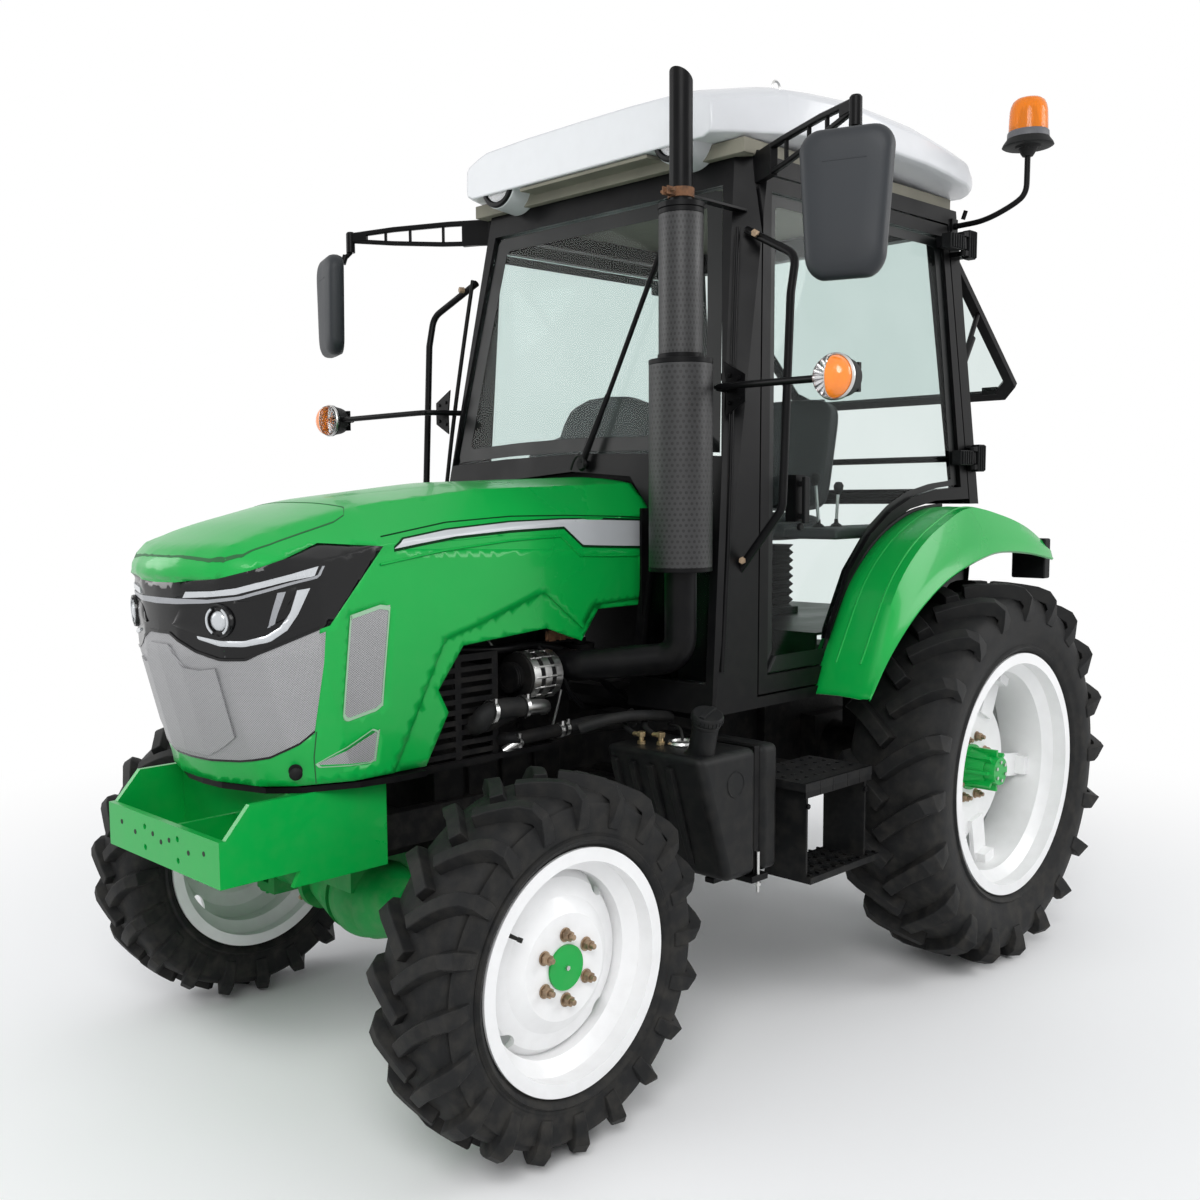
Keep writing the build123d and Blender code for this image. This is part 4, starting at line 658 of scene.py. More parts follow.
for side, sign in SIDES:
    laid(f"grille_wing_{side}", GRILLE_TOP, GRILLE_LOW, hood, mesh_screen, "bonnet", lift=0.0015,
         thick=0.003, sign=sign, steps=(60, 24))
    laid(f"grille_middle_{side}", MIDDLE_TOP, MIDDLE_LOW, hood, mesh_screen, "bonnet", lift=0.0065,
         thick=0.006, sign=sign, steps=(40, 20))
    laid(f"lamp_chin_{side}", CHIN, moved(GRILLE_TOP, 0, 0, -0.002), hood, gloss_black, "bonnet",
         lift=0.0008, thick=0.0015, sign=sign, steps=(60, 8))
    laid(f"grille_edge_{side}", GRILLE_TOP, moved(GRILLE_TOP, 0, 0, 0.006), hood, gloss_black, "bonnet",
         lift=0.0035, thick=0.005, sign=sign, steps=(60, 3))
    laid(f"grille_sill_{side}", GRILLE_LOW, moved(GRILLE_LOW, 0, 0, -0.005), hood, gloss_black, "bonnet",
         lift=0.002, thick=0.004, sign=sign, steps=(60, 3))

def on_flank(points):
    """Points of (ahead of the front axle, up) on the flat side of the bonnet."""
    return [(x, 0.312, z) for x, z in points]


# bright rims frame the side vents; painted shade lines the top panel's crease, a dark line marks the nose
# joint
VENTS = {"vent": on_flank([(0.263, 1.222), (0.178, 1.241), (0.149, 1.236), (0.178, 1.003), (0.197, 0.993),
                           (0.280, 0.978), (0.290, 0.989), (0.263, 1.222)]),
         "low_vent": [(0.348, 0.283, 0.886), (0.206, 0.312, 0.953), (0.190, 0.312, 0.945),
                      (0.202, 0.312, 0.878), (0.215, 0.312, 0.873), (0.342, 0.286, 0.877),
                      (0.348, 0.283, 0.886)],}
vent_rim = surface("vent_rim", (0.30, 0.50, 0.33), 0.35, metal=0.2, vary=0.05)
for name, line in VENTS.items():
    middle = sum((Vector(p) for p in line[:-1]), Vector()) / (len(line) - 1)
    inner = [tuple(middle + (Vector(p) - middle) * 0.93) for p in line]
    for side, sign in SIDES:
        laid(f"{name}_rim_{side}", line, inner, hood, vent_rim, "bonnet", lift=0.0016, thick=0.004,
             sign=sign, steps=(90, 3))
# one dark green for the painted shade along the raised panel's crease and for the dark joint of the nose
crease_shade_and_joint = surface("painted_crease_shade_and_joint", (0.003, 0.10, 0.02), 0.6, vary=0.05)
PLATEAU = [(0.572, 0.0, 1.366), (0.570, 0.050, 1.364), (0.561, 0.105, 1.362), (0.540, 0.180, 1.358),
           (0.522, 0.212, 1.358), (0.490, 0.236, 1.364), (0.425, 0.241, 1.385), (0.325, 0.238, 1.413),
           (0.250, 0.236, 1.430), (0.216, 0.228, 1.449), (0.200, 0.205, 1.462), (0.206, 0.161, 1.471),
           (0.221, 0.052, 1.478), (0.223, 0.0, 1.480)]
NOSE_JOINT = [(0.349, 0.29, 0.962), (0.356, 0.286, 0.90), (0.350, 0.283, 0.84)]
for side, sign in SIDES:
    # the dark strip round the raised panel is painted shade of its crease, not a cut groove
    laid(f"plateau_crease_shade_{side}", PLATEAU, [(x - 0.004, y * 0.985, z) for x, y, z in PLATEAU], hood,
         crease_shade_and_joint, "bonnet", lift=0.0007, thick=0.001, sign=sign, steps=(120, 2), outward=Vector((0, 0, 1)))
    laid(f"nose_joint_{side}", NOSE_JOINT, moved(NOSE_JOINT, -0.003, 0.001, 0), hood, crease_shade_and_joint, "bonnet",
         lift=0.0004, thick=0.001, sign=sign, steps=(20, 2))

# A silver stripe runs back along each side inside a black line, above a raised bead; a knob on each flank
# lets the bonnet go, and a rubber strip closes its rear end against the cab.
dress(green, "bonnet_stripes")
STRIPE_TOP = on_flank([(0.134, 1.369), (0.104, 1.390), (-0.032, 1.410), (-0.244, 1.424), (-0.425, 1.426),
                       (-0.577, 1.422), (-0.742, 1.416)])
STRIPE_LOW = on_flank([(0.134, 1.369), (0.060, 1.379), (-0.054, 1.393), (-0.233, 1.403), (-0.425, 1.408),
                       (-0.496, 1.357), (-0.594, 1.352), (-0.750, 1.345)])
STRIPE_ROOF = [(0.159, 0.292, 1.399), (-0.046, 0.281, 1.428), (-0.257, 0.287, 1.439),
               (-0.443, 0.296, 1.438), (-0.745, 0.312, 1.427)]
BEAD = on_flank([(0.176, 1.337), (-0.019, 1.363), (-0.233, 1.380), (-0.411, 1.386), (-0.483, 1.332),
                 (-0.593, 1.327), (-0.718, 1.323), (-0.727, 1.261), (-0.738, 1.190)])
foil = surface("silver_foil", (0.56, 0.58, 0.60), 0.38, metal=0.1, vary=0.04, relief=0.02)
# one dark green for the stripe's border line and for the painted shadow under the shoulder's edge
seam = surface("trim_seam_and_painted_shadow", (0.002, 0.03, 0.008), 0.6, vary=0.05, shine=0.1)
for side, sign in SIDES:
    sideways = Vector((0, sign, 0.25)).normalized()
    laid(f"stripe_border_{side}", moved(STRIPE_TOP, 0, 0, 0.006), moved(STRIPE_LOW, 0, 0, -0.007), hood,
         seam, "bonnet", lift=0.0008, thick=0.002, sign=sign, steps=(120, 8), outward=sideways)
    laid(f"stripe_{side}", STRIPE_TOP, STRIPE_LOW, hood, foil, "bonnet", lift=0.0022, thick=0.003,
         sign=sign, steps=(120, 8), outward=sideways)
    # the thin dark strip under the shoulder's edge, above the stripe, is painted shadow
    laid(f"stripe_shoulder_shadow_{side}", STRIPE_ROOF, moved(STRIPE_ROOF, 0, 0, -0.0035), hood, seam, "bonnet",
         lift=0.0006, thick=0.0015, sign=sign, steps=(100, 2), outward=sideways)
    laid(f"side_bead_{side}", BEAD, moved(BEAD, -0.001, 0, -0.007), hood, green, "bonnet", lift=0.0006,
         thick=0.002, sign=sign, steps=(140, 5), outward=sideways, bulge=0.0035)
    found, normal = outer_face(hood, Vector((F + 0.390, sign * 0.264, 0.874)))
    spun(f"bonnet_knob_{side}", plastic, [(0.0, 0.030), (0.010, 0.029), (0.015, 0.024), (0.013, 0.017),
                                          (0.007, 0.013), (0.007, 0.002), (0.016, 0.001), (0.016, -0.003)],
         found, normal, body="bonnet", steps=36, sharp=40)
low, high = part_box("bonnet_shell")
arch = []
for i in range(41):
    y = -0.318 + 0.636 * i / 40
    found, _, _, _ = hood.ray_cast(Vector((low[0] + 0.012, y, 1.8)), Vector((0, 0, -1)))
    arch.append((low[0] + 0.004, y, found.z + 0.003 if found else arch[-1][2] if arch else 1.40))
rise = [(low[0] + 0.004, -0.316, z) for z in (1.12, 1.25, 1.36)]
fall = [(x, -y, z) for x, y, z in reversed(rise)]
pipe("bonnet_seal", rise + arch[2:-2] + fall, 0.008, rubber, "bonnet")

# The weight carrier is welded plate, bolted to the front support; dark discs of painted shade mark its
# holes.
# The front axle is a casting whose covers, caps and steering joints are bolted on.
builder = bmesh.new()
low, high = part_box("weight_carrier")
for y in (-0.20, 0.20):
    rod(builder, (high[0] - 0.03, y, low[2] + 0.09), (high[0] - 0.015, y, low[2] + 0.09), 0.010, sides=6)
close("carrier_bolts", builder, rust, bevel=0.001)
hole_shade = surface("painted_hole_shade", (0.01, 0.02, 0.012), 0.8)
# the holes are not cut: near-black discs on the front plate are painted shade standing in for them
builder = bmesh.new()
for i, y in enumerate((-0.20, -0.13, -0.04, 0.0, 0.04, 0.13, 0.20)):
    rod(builder, (high[0] - 0.001, y, 0.71 - 0.012 * (i % 2)),
        (high[0] + 0.0006, y, 0.71 - 0.012 * (i % 2)), 0.006, sides=20)
close("carrier_hole_shades", builder, hole_shade)

axle_z = (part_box("front_axle")[0][2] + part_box("front_axle")[1][2]) / 2
for side, sign in SIDES:
    pin_y = sign * 0.5
    builder = bmesh.new()
    for z, up_or_down in ((axle_z + 0.084, 1), (axle_z - 0.084, -1)):
        rod(builder, (F, pin_y, z), (F, pin_y, z + up_or_down * 0.012), 0.036, 0.032, sides=32)
        for c, s in around(4, 0.6):
            spot = (F + 0.025 * c, pin_y + 0.025 * s)
            rod(builder, (*spot, z + up_or_down * 0.012), (*spot, z + up_or_down * 0.018), 0.006, sides=6)
    close(f"kingpin_caps_{side}", builder, cast_green, bevel=0.001)
    pipe(f"axle_breather_{side}", placed([(-0.03, 0.30, axle_z + 0.05), (-0.05, 0.30, axle_z + 0.10),
                                          (-0.09, 0.27, axle_z + 0.12), (-0.10, 0.20, axle_z + 0.11)],
                                         sign), 0.005, black)
builder = bmesh.new()
for c, s in around(10):
    x, z = F + 0.088 * c, axle_z + 0.075 * s
    for sign in (1, -1):
        rod(builder, (x, sign * 0.224, z), (x, sign * 0.232, z), 0.007, sides=6)
close("axle_flange_bolts", builder, rust)

# The engine bay stands open below the bonnet: a louvred screen, the alternator, hoses with bright clamps,
# injection pipes, a dipstick and the wiring, all black, cast or plated.
ALTERNATOR_Y, ALTERNATOR_Z = 0.228, 1.010
builder = bmesh.new()
for ring_x in (-0.425, -0.385, -0.345):
    turned(builder, [(0.060, -0.012), (0.066, -0.012), (0.066, 0.012), (0.060, 0.012), (0.060, -0.012)],
           (F + ring_x, ALTERNATOR_Y, ALTERNATOR_Z), (1, 0, 0), steps=40)
for c, s in around(14):
    spot = Vector((F - 0.385, ALTERNATOR_Y + 0.063 * c, ALTERNATOR_Z + 0.063 * s))
    rod(builder, spot - Vector((0.045, 0, 0)), spot + Vector((0.045, 0, 0)), 0.004, sides=8)
close("alternator_frame", builder, steel)
builder = bmesh.new()
for x in (-0.296, -0.303, -0.310):
    turned(builder, [(0.030, -0.003), (0.041, -0.003), (0.041, 0.002), (0.030, 0.002), (0.030, -0.003)],
           (F + x, ALTERNATOR_Y, ALTERNATOR_Z), (1, 0, 0), steps=40)
close("alternator_pulley", builder, casting)
HOSES = (  # name, finish, radius, points ahead of the front axle
    ("coolant_elbow", rubber, 0.027, [(-0.16, 0.20, 0.90), (-0.16, 0.262, 0.900), (-0.17, 0.275, 0.935),
                                      (-0.24, 0.28, 0.945),
                                      (-0.31, 0.278, 0.935)]),
    ("coolant_pipe", steel, 0.020, [(-0.30, 0.278, 0.935), (-0.36, 0.276, 0.932), (-0.40, 0.262, 0.925),
                                    (-0.42, 0.23, 0.915)]),
    ("fuel_return", steel, 0.013, [(-0.24, 0.27, 0.826), (-0.27, 0.288, 0.850), (-0.34, 0.29, 0.862),
                                   (-0.43, 0.288, 0.858)]),
    ("fuel_hose", rubber, 0.016, [(-0.42, 0.288, 0.858), (-0.50, 0.292, 0.870), (-0.60, 0.296, 0.868),
                                  (-0.72, 0.296, 0.862),
                                  (-0.76, 0.28, 0.85)]),
    ("loom", black, 0.011, [(-0.12, 0.20, 1.10), (-0.25, 0.235, 1.085), (-0.40, 0.215, 1.095),
                            (-0.52, 0.24, 1.06),
                            (-0.60, 0.26, 1.00), (-0.66, 0.27, 0.93), (-0.74, 0.27, 0.90)]),
    ("loom_branch", black, 0.008, [(-0.40, 0.215, 1.095), (-0.44, 0.25, 1.05), (-0.47, 0.265, 0.99),
                                   (-0.50, 0.26, 0.94),
                                   (-0.56, 0.25, 0.90)]),
    ("heater_hose", rubber, 0.012, [(-0.56, 0.20, 1.00), (-0.60, 0.25, 0.98), (-0.66, 0.28, 0.97),
                                    (-0.72, 0.29, 1.00),
                                    (-0.78, 0.28, 1.04)]),
    ("injector_pipe_front", steel, 0.004, [(-0.30, 0.16, 0.98), (-0.30, 0.19, 1.04), (-0.28, 0.17, 1.12),
                                           (-0.26, 0.12, 1.14)]),
    ("injector_pipe_middle", steel, 0.004, [(-0.46, 0.16, 0.95), (-0.47, 0.20, 1.00), (-0.48, 0.19, 1.10),
                                            (-0.46, 0.12, 1.14)]),
    ("dipstick", steel, 0.004, [(-0.50, 0.152, 0.78), (-0.505, 0.19, 0.86), (-0.52, 0.20, 0.95)]),
)
for name, finish, radius, points in HOSES:
    pipe(name, placed(points), radius, finish)
builder = bmesh.new()
for x, y, z, radius, axis in ((-0.30, 0.279, 0.938, 0.030, (1, 0, 0)),
                              (-0.19, 0.277, 0.938, 0.030, (1, 0, 0.1)),
                              (-0.425, 0.288, 0.859, 0.019, (1, 0, 0)),
                              (-0.27, 0.287, 0.848, 0.017, (1, 0.3, 0.5)),
                              (-0.445, 0.290, 0.862, 0.019, (1, 0, 0))):
    turned(builder, [(radius - 0.002, -0.006), (radius + 0.001, -0.006), (radius + 0.001, 0.006),
                     (radius - 0.002, 0.006), (radius - 0.002, -0.006)], (F + x, y, z), axis, steps=32)
    rod(builder, (F + x, y + radius * 0.7, z + radius * 0.8),
        (F + x, y + radius * 0.7, z + radius * 0.8 + 0.012), 0.005, sides=6)
close("hose_clamps", builder, steel)
builder = bmesh.new()
for x in (-0.20, -0.30, -0.40, -0.50):
    rod(builder, (F + x, 0.105, 1.16), (F + x, 0.150, 1.16), 0.03, 0.027, sides=20)
for x in (-0.16, -0.28, -0.40, -0.52):
    for z in (0.62, 0.74, 0.86):
        rod(builder, (F + x, 0.149, z), (F + x, 0.158, z), 0.009, sides=6)
for x in (-0.14, -0.26, -0.38, -0.50):
    box(builder, F + x - 0.05, F + x + 0.05, 0.149, 0.165, 0.66, 0.80)
close("engine_covers", builder, casting, bevel=0.004)
cap_white = surface("white_cap", (0.75, 0.76, 0.74), 0.5, vary=0.1)
rusty = surface("rusty_iron", (0.16, 0.075, 0.035), 0.85, vary=0.45, patch=50, relief=0.5)
builder = bmesh.new()
rod(builder, (F - 0.592, 0.200, 1.092), (F - 0.592, 0.200, 1.104), 0.019, 0.016, sides=10)
close("filter_knob", builder, cap_white, bevel=0.002)
builder = bmesh.new()
for x in (-0.545, -0.505, -0.465):
    box(builder, F + x - 0.014, F + x + 0.014, 0.150, 0.228, 1.092, 1.124)
rod(builder, (F - 0.57, 0.205, 1.108), (F - 0.44, 0.205, 1.108), 0.022, sides=16)
close("manifold_ribs", builder, rusty, bevel=0.004)

# The exhaust stands beside the front post: a muffler and a stack, each behind a perforated black sheet,
# a straight black outlet cut on the slant, and a rusty clamp with a stay to the post.
stack = Vector((F - 0.630, 0.540, 0))
perforated = surface("perforated_sheet", (0.016, 0.016, 0.017), 0.45, vary=0.15, relief=0.05)
tree = perforated.node_tree
shader = tree.nodes["Principled BSDF"]
axes = split_axes(tree, tree.nodes["Texture Coordinate"].outputs["Object"])
angle = maths(tree, "ARCTAN2", maths(tree, "SUBTRACT", axes["Y"], stack.y),
              maths(tree, "SUBTRACT", axes["X"], stack.x))
level = maths(tree, "MULTIPLY", axes["Z"], 72.0)
shift = maths(tree, "MULTIPLY", maths(tree, "MODULO", maths(tree, "FLOOR", level), 2.0), 0.5)
column = maths(tree, "ADD", maths(tree, "MULTIPLY", angle, 36 / math.tau), shift)
squares = []
for cell in (column, level):
    off = maths(tree, "SUBTRACT", maths(tree, "FRACT", cell), 0.5)
    squares.append(maths(tree, "MULTIPLY", off, off))
# the holes are not cut: they are painted near-black, the black muffler behind them darkened further by
# painted shade
metal = maths(tree, "GREATER_THAN", maths(tree, "SQRT", maths(tree, "ADD", *squares)), 0.29)
plain = shader.inputs["Base Color"].links[0].from_socket
put(tree, shader.inputs["Base Color"], blend(tree, metal, (0.001, 0.001, 0.001), plain))
bumped(tree, shader, metal, 0.6, 0.002)
for name, radius, z0, z1 in (("muffler_shield", 0.0830, 1.300, 1.822),
                             ("stack_shield", 0.0575, 1.850, 2.200)):
    spun(name, perforated, [(radius - 0.002, z0), (radius, z0), (radius, z1), (radius - 0.002, z1),
                            (radius - 0.002, z0)], stack, steps=72)
for name, radius, z0, z1 in (("muffler_collar", 0.0835, 1.822, 1.836),
                             ("stack_collar", 0.0585, 2.200, 2.214), ("muffler_foot", 0.0835, 1.288, 1.300),
                             ("shield_step", 0.060, 1.836, 1.850)):
    spun(name, black, [(0.03, z0), (radius, z0), (radius, z1), (0.03, z1), (0.03, z0)], stack, steps=72,
         bevel=0.002)
builder = bmesh.new()
turned(builder, [(0.029, 2.242), (0.034, 2.242), (0.034, 2.266), (0.029, 2.266), (0.029, 2.242)], stack,
       (0, 0, 1), steps=48)
box(builder, stack.x + 0.030, stack.x + 0.062, 0.530, 0.534, 2.244, 2.264)
box(builder, stack.x + 0.030, stack.x + 0.062, 0.545, 0.549, 2.244, 2.264)
rod(builder, (stack.x + 0.05, 0.518, 2.254), (stack.x + 0.05, 0.562, 2.254), 0.005, sides=6)
close("exhaust_clamp", builder, rusty)


# The cab is a welded frame of black square tube. Its panes are bonded in with a black printed border,
# and the doors hang at the rear on finned black hinges.
windscreen_tree = panel_tree("front_glass")
printed = surface("printed_border", (0.004, 0.005, 0.005), 0.35, vary=0.1, shine=0.2)
SCREEN = [(-0.79, 0.545, 1.60), (-0.79, 0.28, 1.614), (-0.79, 0.0, 1.620), (-0.79, -0.28, 1.614),
          (-0.79, -0.545, 1.60), (-0.86, -0.50, 2.0), (-0.90, -0.458, 2.322), (-0.90, 0.0, 2.322),
          (-0.90, 0.458, 2.322), (-0.86, 0.50, 2.0), (-0.79, 0.545, 1.60)]
middle = Vector((-0.85, 0, 1.96))
inner = [tuple(middle + Vector(((p[0] - middle.x), (p[1] - middle.y) * 0.90,
                                (p[2] - middle.z) * 0.88))) for p in SCREEN]
laid("windscreen_border", SCREEN, inner, windscreen_tree, printed, "chassis", lift=0.0008, thick=0.001,
     steps=(120, 4), outward=Vector((1, 0, 0)))
for side, sign in SIDES:
    pane_tree = panel_tree(f"door_glass_{side}")
    back = R - F
    DOOR_PANE = [(back + 0.936, 0.60, 0.995), (back + 0.905, 0.60, 1.60), (back + 0.868, 0.58, 2.302),
                 (back + 0.40, 0.58, 2.302), (back - 0.054, 0.58, 2.302), (back - 0.10, 0.59, 1.95),
                 (back - 0.150, 0.60, 1.512), (back + 0.0, 0.60, 1.500), (back + 0.15, 0.60, 1.474),
                 (back + 0.28, 0.60, 1.428), (back + 0.40, 0.60, 1.361), (back + 0.51, 0.62, 1.258),
                 (back + 0.62, 0.62, 1.09), (back + 0.655, 0.62, 0.995), (back + 0.936, 0.62, 0.995)]
    middle = Vector((back + 0.42, 0.6, 1.78))
    inset = [tuple(middle + Vector(((p[0] - middle.x) * 0.93, 0,
                                    (p[2] - middle.z) * 0.945))) for p in DOOR_PANE]
    laid(f"door_border_{side}", DOOR_PANE, inset, pane_tree, printed, f"door_{side}", lift=0.0008,
         thick=0.001, steps=(160, 4), sign=sign, outward=Vector((0, sign, 0)))
    builder = bmesh.new()
    y = sign * 0.622
    for z in (1.425, 1.515):
        box(builder, F - 1.052, F - 1.034, y, y + sign * 0.022, z - 0.008, z + 0.008)
    box(builder, F - 1.054, F - 1.030, y + sign * 0.018, y + sign * 0.030, 1.405, 1.535)
    rod(builder, (F - 1.043, y, 1.395), (F - 1.043, y + sign * 0.012, 1.395), 0.011, sides=24)
    close(f"door_handle_{side}", builder, plastic, f"door_{side}", bevel=0.003)
    for z, x in ((2.285, R - 0.105), (1.600, R - 0.200)):
        builder = bmesh.new()
        box(builder, x + 0.016, x + 0.098, sign * 0.596, sign * 0.630, z - 0.024, z + 0.024)
        for k in range(5):
            box(builder, x + 0.024 + 0.015 * k, x + 0.031 + 0.015 * k, sign * 0.628, sign * 0.636,
                z - 0.022, z + 0.022)
        close(f"door_hinge_cover_{'top' if z > 2 else 'low'}_{side}", builder, plastic, f"door_{side}",
              bevel=0.003)
        builder = bmesh.new()
        box(builder, x - 0.062, x - 0.020, sign * 0.604, sign * 0.632, z - 0.045, z + 0.045)
        for k in range(3):
            box(builder, x - 0.060 + 0.013 * k, x - 0.054 + 0.013 * k, sign * 0.630, sign * 0.637,
                z - 0.042, z + 0.042)
        close(f"hinge_block_{'top' if z > 2 else 'low'}_{side}", builder, plastic, bevel=0.003)
    pipe(f"post_loom_{side}", placed([(-0.70, 0.625, 1.02), (-0.76, 0.600, 1.40), (-0.80, 0.575, 1.80),
                                      (-0.86, 0.545, 2.20)], sign), 0.007, black)

# The wiper is a pressed arm with a rubber blade; a washer hose runs up to it from the bonnet's rear end.
builder = bmesh.new()
rod(builder, (F - 0.752, 0.060, 1.580), (F - 0.744, 0.060, 1.580), 0.020, 0.014, sides=24)
arm_low, arm_high = Vector((F - 0.750, 0.060, 1.585)), Vector((F - 0.822, 0.188, 1.94))
for a, b, width in ((arm_low, arm_low.lerp(arm_high, 0.55), 0.009),
                    (arm_low.lerp(arm_high, 0.5), arm_high, 0.006)):
    rod(builder, a, b, width, width * 0.8, sides=8)
blade_low, blade_high = Vector((F - 0.790, 0.132, 1.78)), Vector((F - 0.866, 0.290, 2.215))
rod(builder, blade_low, blade_high, 0.0075, 0.0060, sides=8)
close("wiper_parts", builder, black)
pipe("washer_hose", placed([(-0.745, 0.02, 1.565), (-0.742, 0.04, 1.61), (-0.747, 0.075, 1.60),
                            (-0.748, 0.07, 1.57)]), 0.004, rubber)

# The roof is one white moulding over a khaki lining, with a shallow visor and two plated
# lifting eyes.
khaki = surface("roof_lining", (0.20, 0.19, 0.15), 0.8, vary=0.15)
LAMP_Y, LAMP_Z = 0.362, 2.471
ROOF = (  # x from the front axle, half width, underside, edge, half width of the flat top, its height
    (-0.800, 0.500, 2.440, 2.538, 0.420, 2.572), (-0.840, 0.528, 2.442, 2.546, 0.448, 2.580),
    (-1.000, 0.610, 2.448, 2.568, 0.520, 2.605), (-1.150, 0.637, 2.461, 2.571, 0.542, 2.616),
    (-1.300, 0.655, 2.472, 2.570, 0.560, 2.622), (-1.475, 0.658, 2.470, 2.564, 0.565, 2.618),
    (-1.650, 0.660, 2.468, 2.556, 0.570, 2.612), (-1.780, 0.658, 2.460, 2.542, 0.566, 2.594),
    (-1.900, 0.655, 2.448, 2.525, 0.560, 2.570), (-1.975, 0.630, 2.443, 2.503, 0.540, 2.538),
    (-2.009, 0.603, 2.440, 2.490, 0.520, 2.520),
)
rings = []
for x, half, under, edge, top_half, top in ROOF:
    right_half = [(half - 0.030, under), (half - 0.004, under + 0.010), (half, under + 0.03),
                  (half - 0.002, edge - 0.01), (half - 0.014, edge + 0.004), (top_half + 0.02, top - 0.012),
                  (top_half - 0.02, top - 0.001), (top_half * 0.5, top + 0.005), (0.0, top + 0.006)]
    outline = right_half + [(-y, z) for y, z in reversed(right_half[:-1])]
    rings.append([Vector((F + x, y, z)) for y, z in outline])
builder = bmesh.new()
loop_faces(builder, rings)
for sign in (1, -1):
    rod(builder, (F - 0.93, sign * LAMP_Y, LAMP_Z), (F - 0.811, sign * LAMP_Y, LAMP_Z), 0.088, 0.076,
        sides=48)
roof_piece = close("roof_moulding", builder, roof_white, sharp=28, bevel=0.006, segments=3)
builder = bmesh.new()
box(builder, F - 1.985, F - 0.880, -0.550, 0.550, 2.401, 2.4415)
rings = []
for x, half, under in ((-0.812, 0.262, 2.4395), (-0.90, 0.262, 2.442)):
    rings.append([Vector((F + x, -half, under)), Vector((F + x, half, under)),
                  Vector((F + x, half, under - 0.012)), Vector((F + x, -half, under - 0.012))])
loop_faces(builder, rings)
close("roof_underside", builder, khaki, sharp=30, bevel=0.003)
builder = bmesh.new()
eye_x = F - 1.160
for sign in (1, -1):
    y = sign * 0.449
    turned(builder, [(0.0145, 0.0), (0.018, 0.0042), (0.0225, 0.0), (0.018, -0.0042), (0.0145, 0.0)],
           (eye_x, y, 2.646), (0, 1, 0), steps=36)
    rod(builder, (eye_x, y, 2.606), (eye_x, y, 2.628), 0.009, sides=16)
    rod(builder, (eye_x, y, 2.606), (eye_x, y, 2.612), 0.017, sides=6)
close("lifting_eyes", builder, steel, sharp=50)
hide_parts("roof")

# Round work lamps sit in the roof's front corners: a black bezel, a bright bowl with ribs and a clear lens.
bowl = surface("lamp_bowl", (0.82, 0.82, 0.83), 0.12, metal=0.9, vary=0.10, patch=50, relief=0.15)
clear, tree, shader, place = blank("clear_lens")
for socket, value in (("Transmission Weight", 1.0), ("IOR", 1.2), ("Roughness", 0.03)):
    shader.inputs[socket].default_value = value
ribs = tree.nodes.new("ShaderNodeTexWave")
ribs.inputs["Scale"].default_value = 60
ribs.bands_direction = "Y"
tree.links.new(place, ribs.inputs["Vector"])
bumped(tree, shader, ribs.outputs["Fac"], 0.25, 0.001)
for side, sign in SIDES:
    centre = (F - 0.812, sign * LAMP_Y, LAMP_Z)
    spun(f"roof_lamp_bezel_{side}", black, [(0.056, -0.02), (0.074, -0.02), (0.074, 0.003), (0.069, 0.008),
                                            (0.060, 0.009), (0.056, 0.004), (0.056, -0.02)], centre,
         (1, 0, 0), steps=64)
    builder = bmesh.new()
    turned(builder, [(0.0, -0.026), (0.020, -0.025), (0.040, -0.016), (0.056, 0.0)], centre, (1, 0, 0),
           steps=48)
    for c, s in around(8):
        out = Vector((0, c, s))
        rod(builder, Vector(centre) + out * 0.012 + Vector((-0.018, 0, 0)),
            Vector(centre) + out * 0.053 + Vector((-0.003, 0, 0)), 0.003, sides=8)
    turned(builder, [(0.0, -0.004), (0.012, -0.006), (0.014, -0.022)], centre, (1, 0, 0), steps=32)
    lens = close(f"roof_lamp_bowl_{side}", builder, bowl, sharp=40)
    spun(f"roof_lamp_lens_{side}", clear, [(0.0, 0.0105), (0.030, 0.0085), (0.0545, 0.003),
                                           (0.0545, 0.0015), (0.030, 0.0065), (0.0, 0.0085)], centre,
         (1, 0, 0), sharp=60)
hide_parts("roof_lamps")

# The fenders are pressed sheet painted like the bonnet, with a rolled outer lip and a step along the crown;
# a black rubber strip seals them against the cab, and black liners hang inside.
def curve_points(line, count):
    """Smooth line through the points, as evenly spaced points."""
    line = [Vector((x, 0, z)) for x, z in line]
    ends = [line[0] * 2 - line[1]] + line + [line[-1] * 2 - line[-2]]
    fine = []
    for k in range(1, len(ends) - 2):
        a, b, c, d = ends[k - 1], ends[k], ends[k + 1], ends[k + 2]
        for j in range(12):
            t = j / 12
            fine.append(0.5 * ((2 * b) + (c - a) * t + (2 * a - 5 * b + 4 * c - d) * t * t
                               + (3 * b - a - 3 * c + d) * t ** 3))
    fine.append(ends[-2])
    return resample(fine, count)


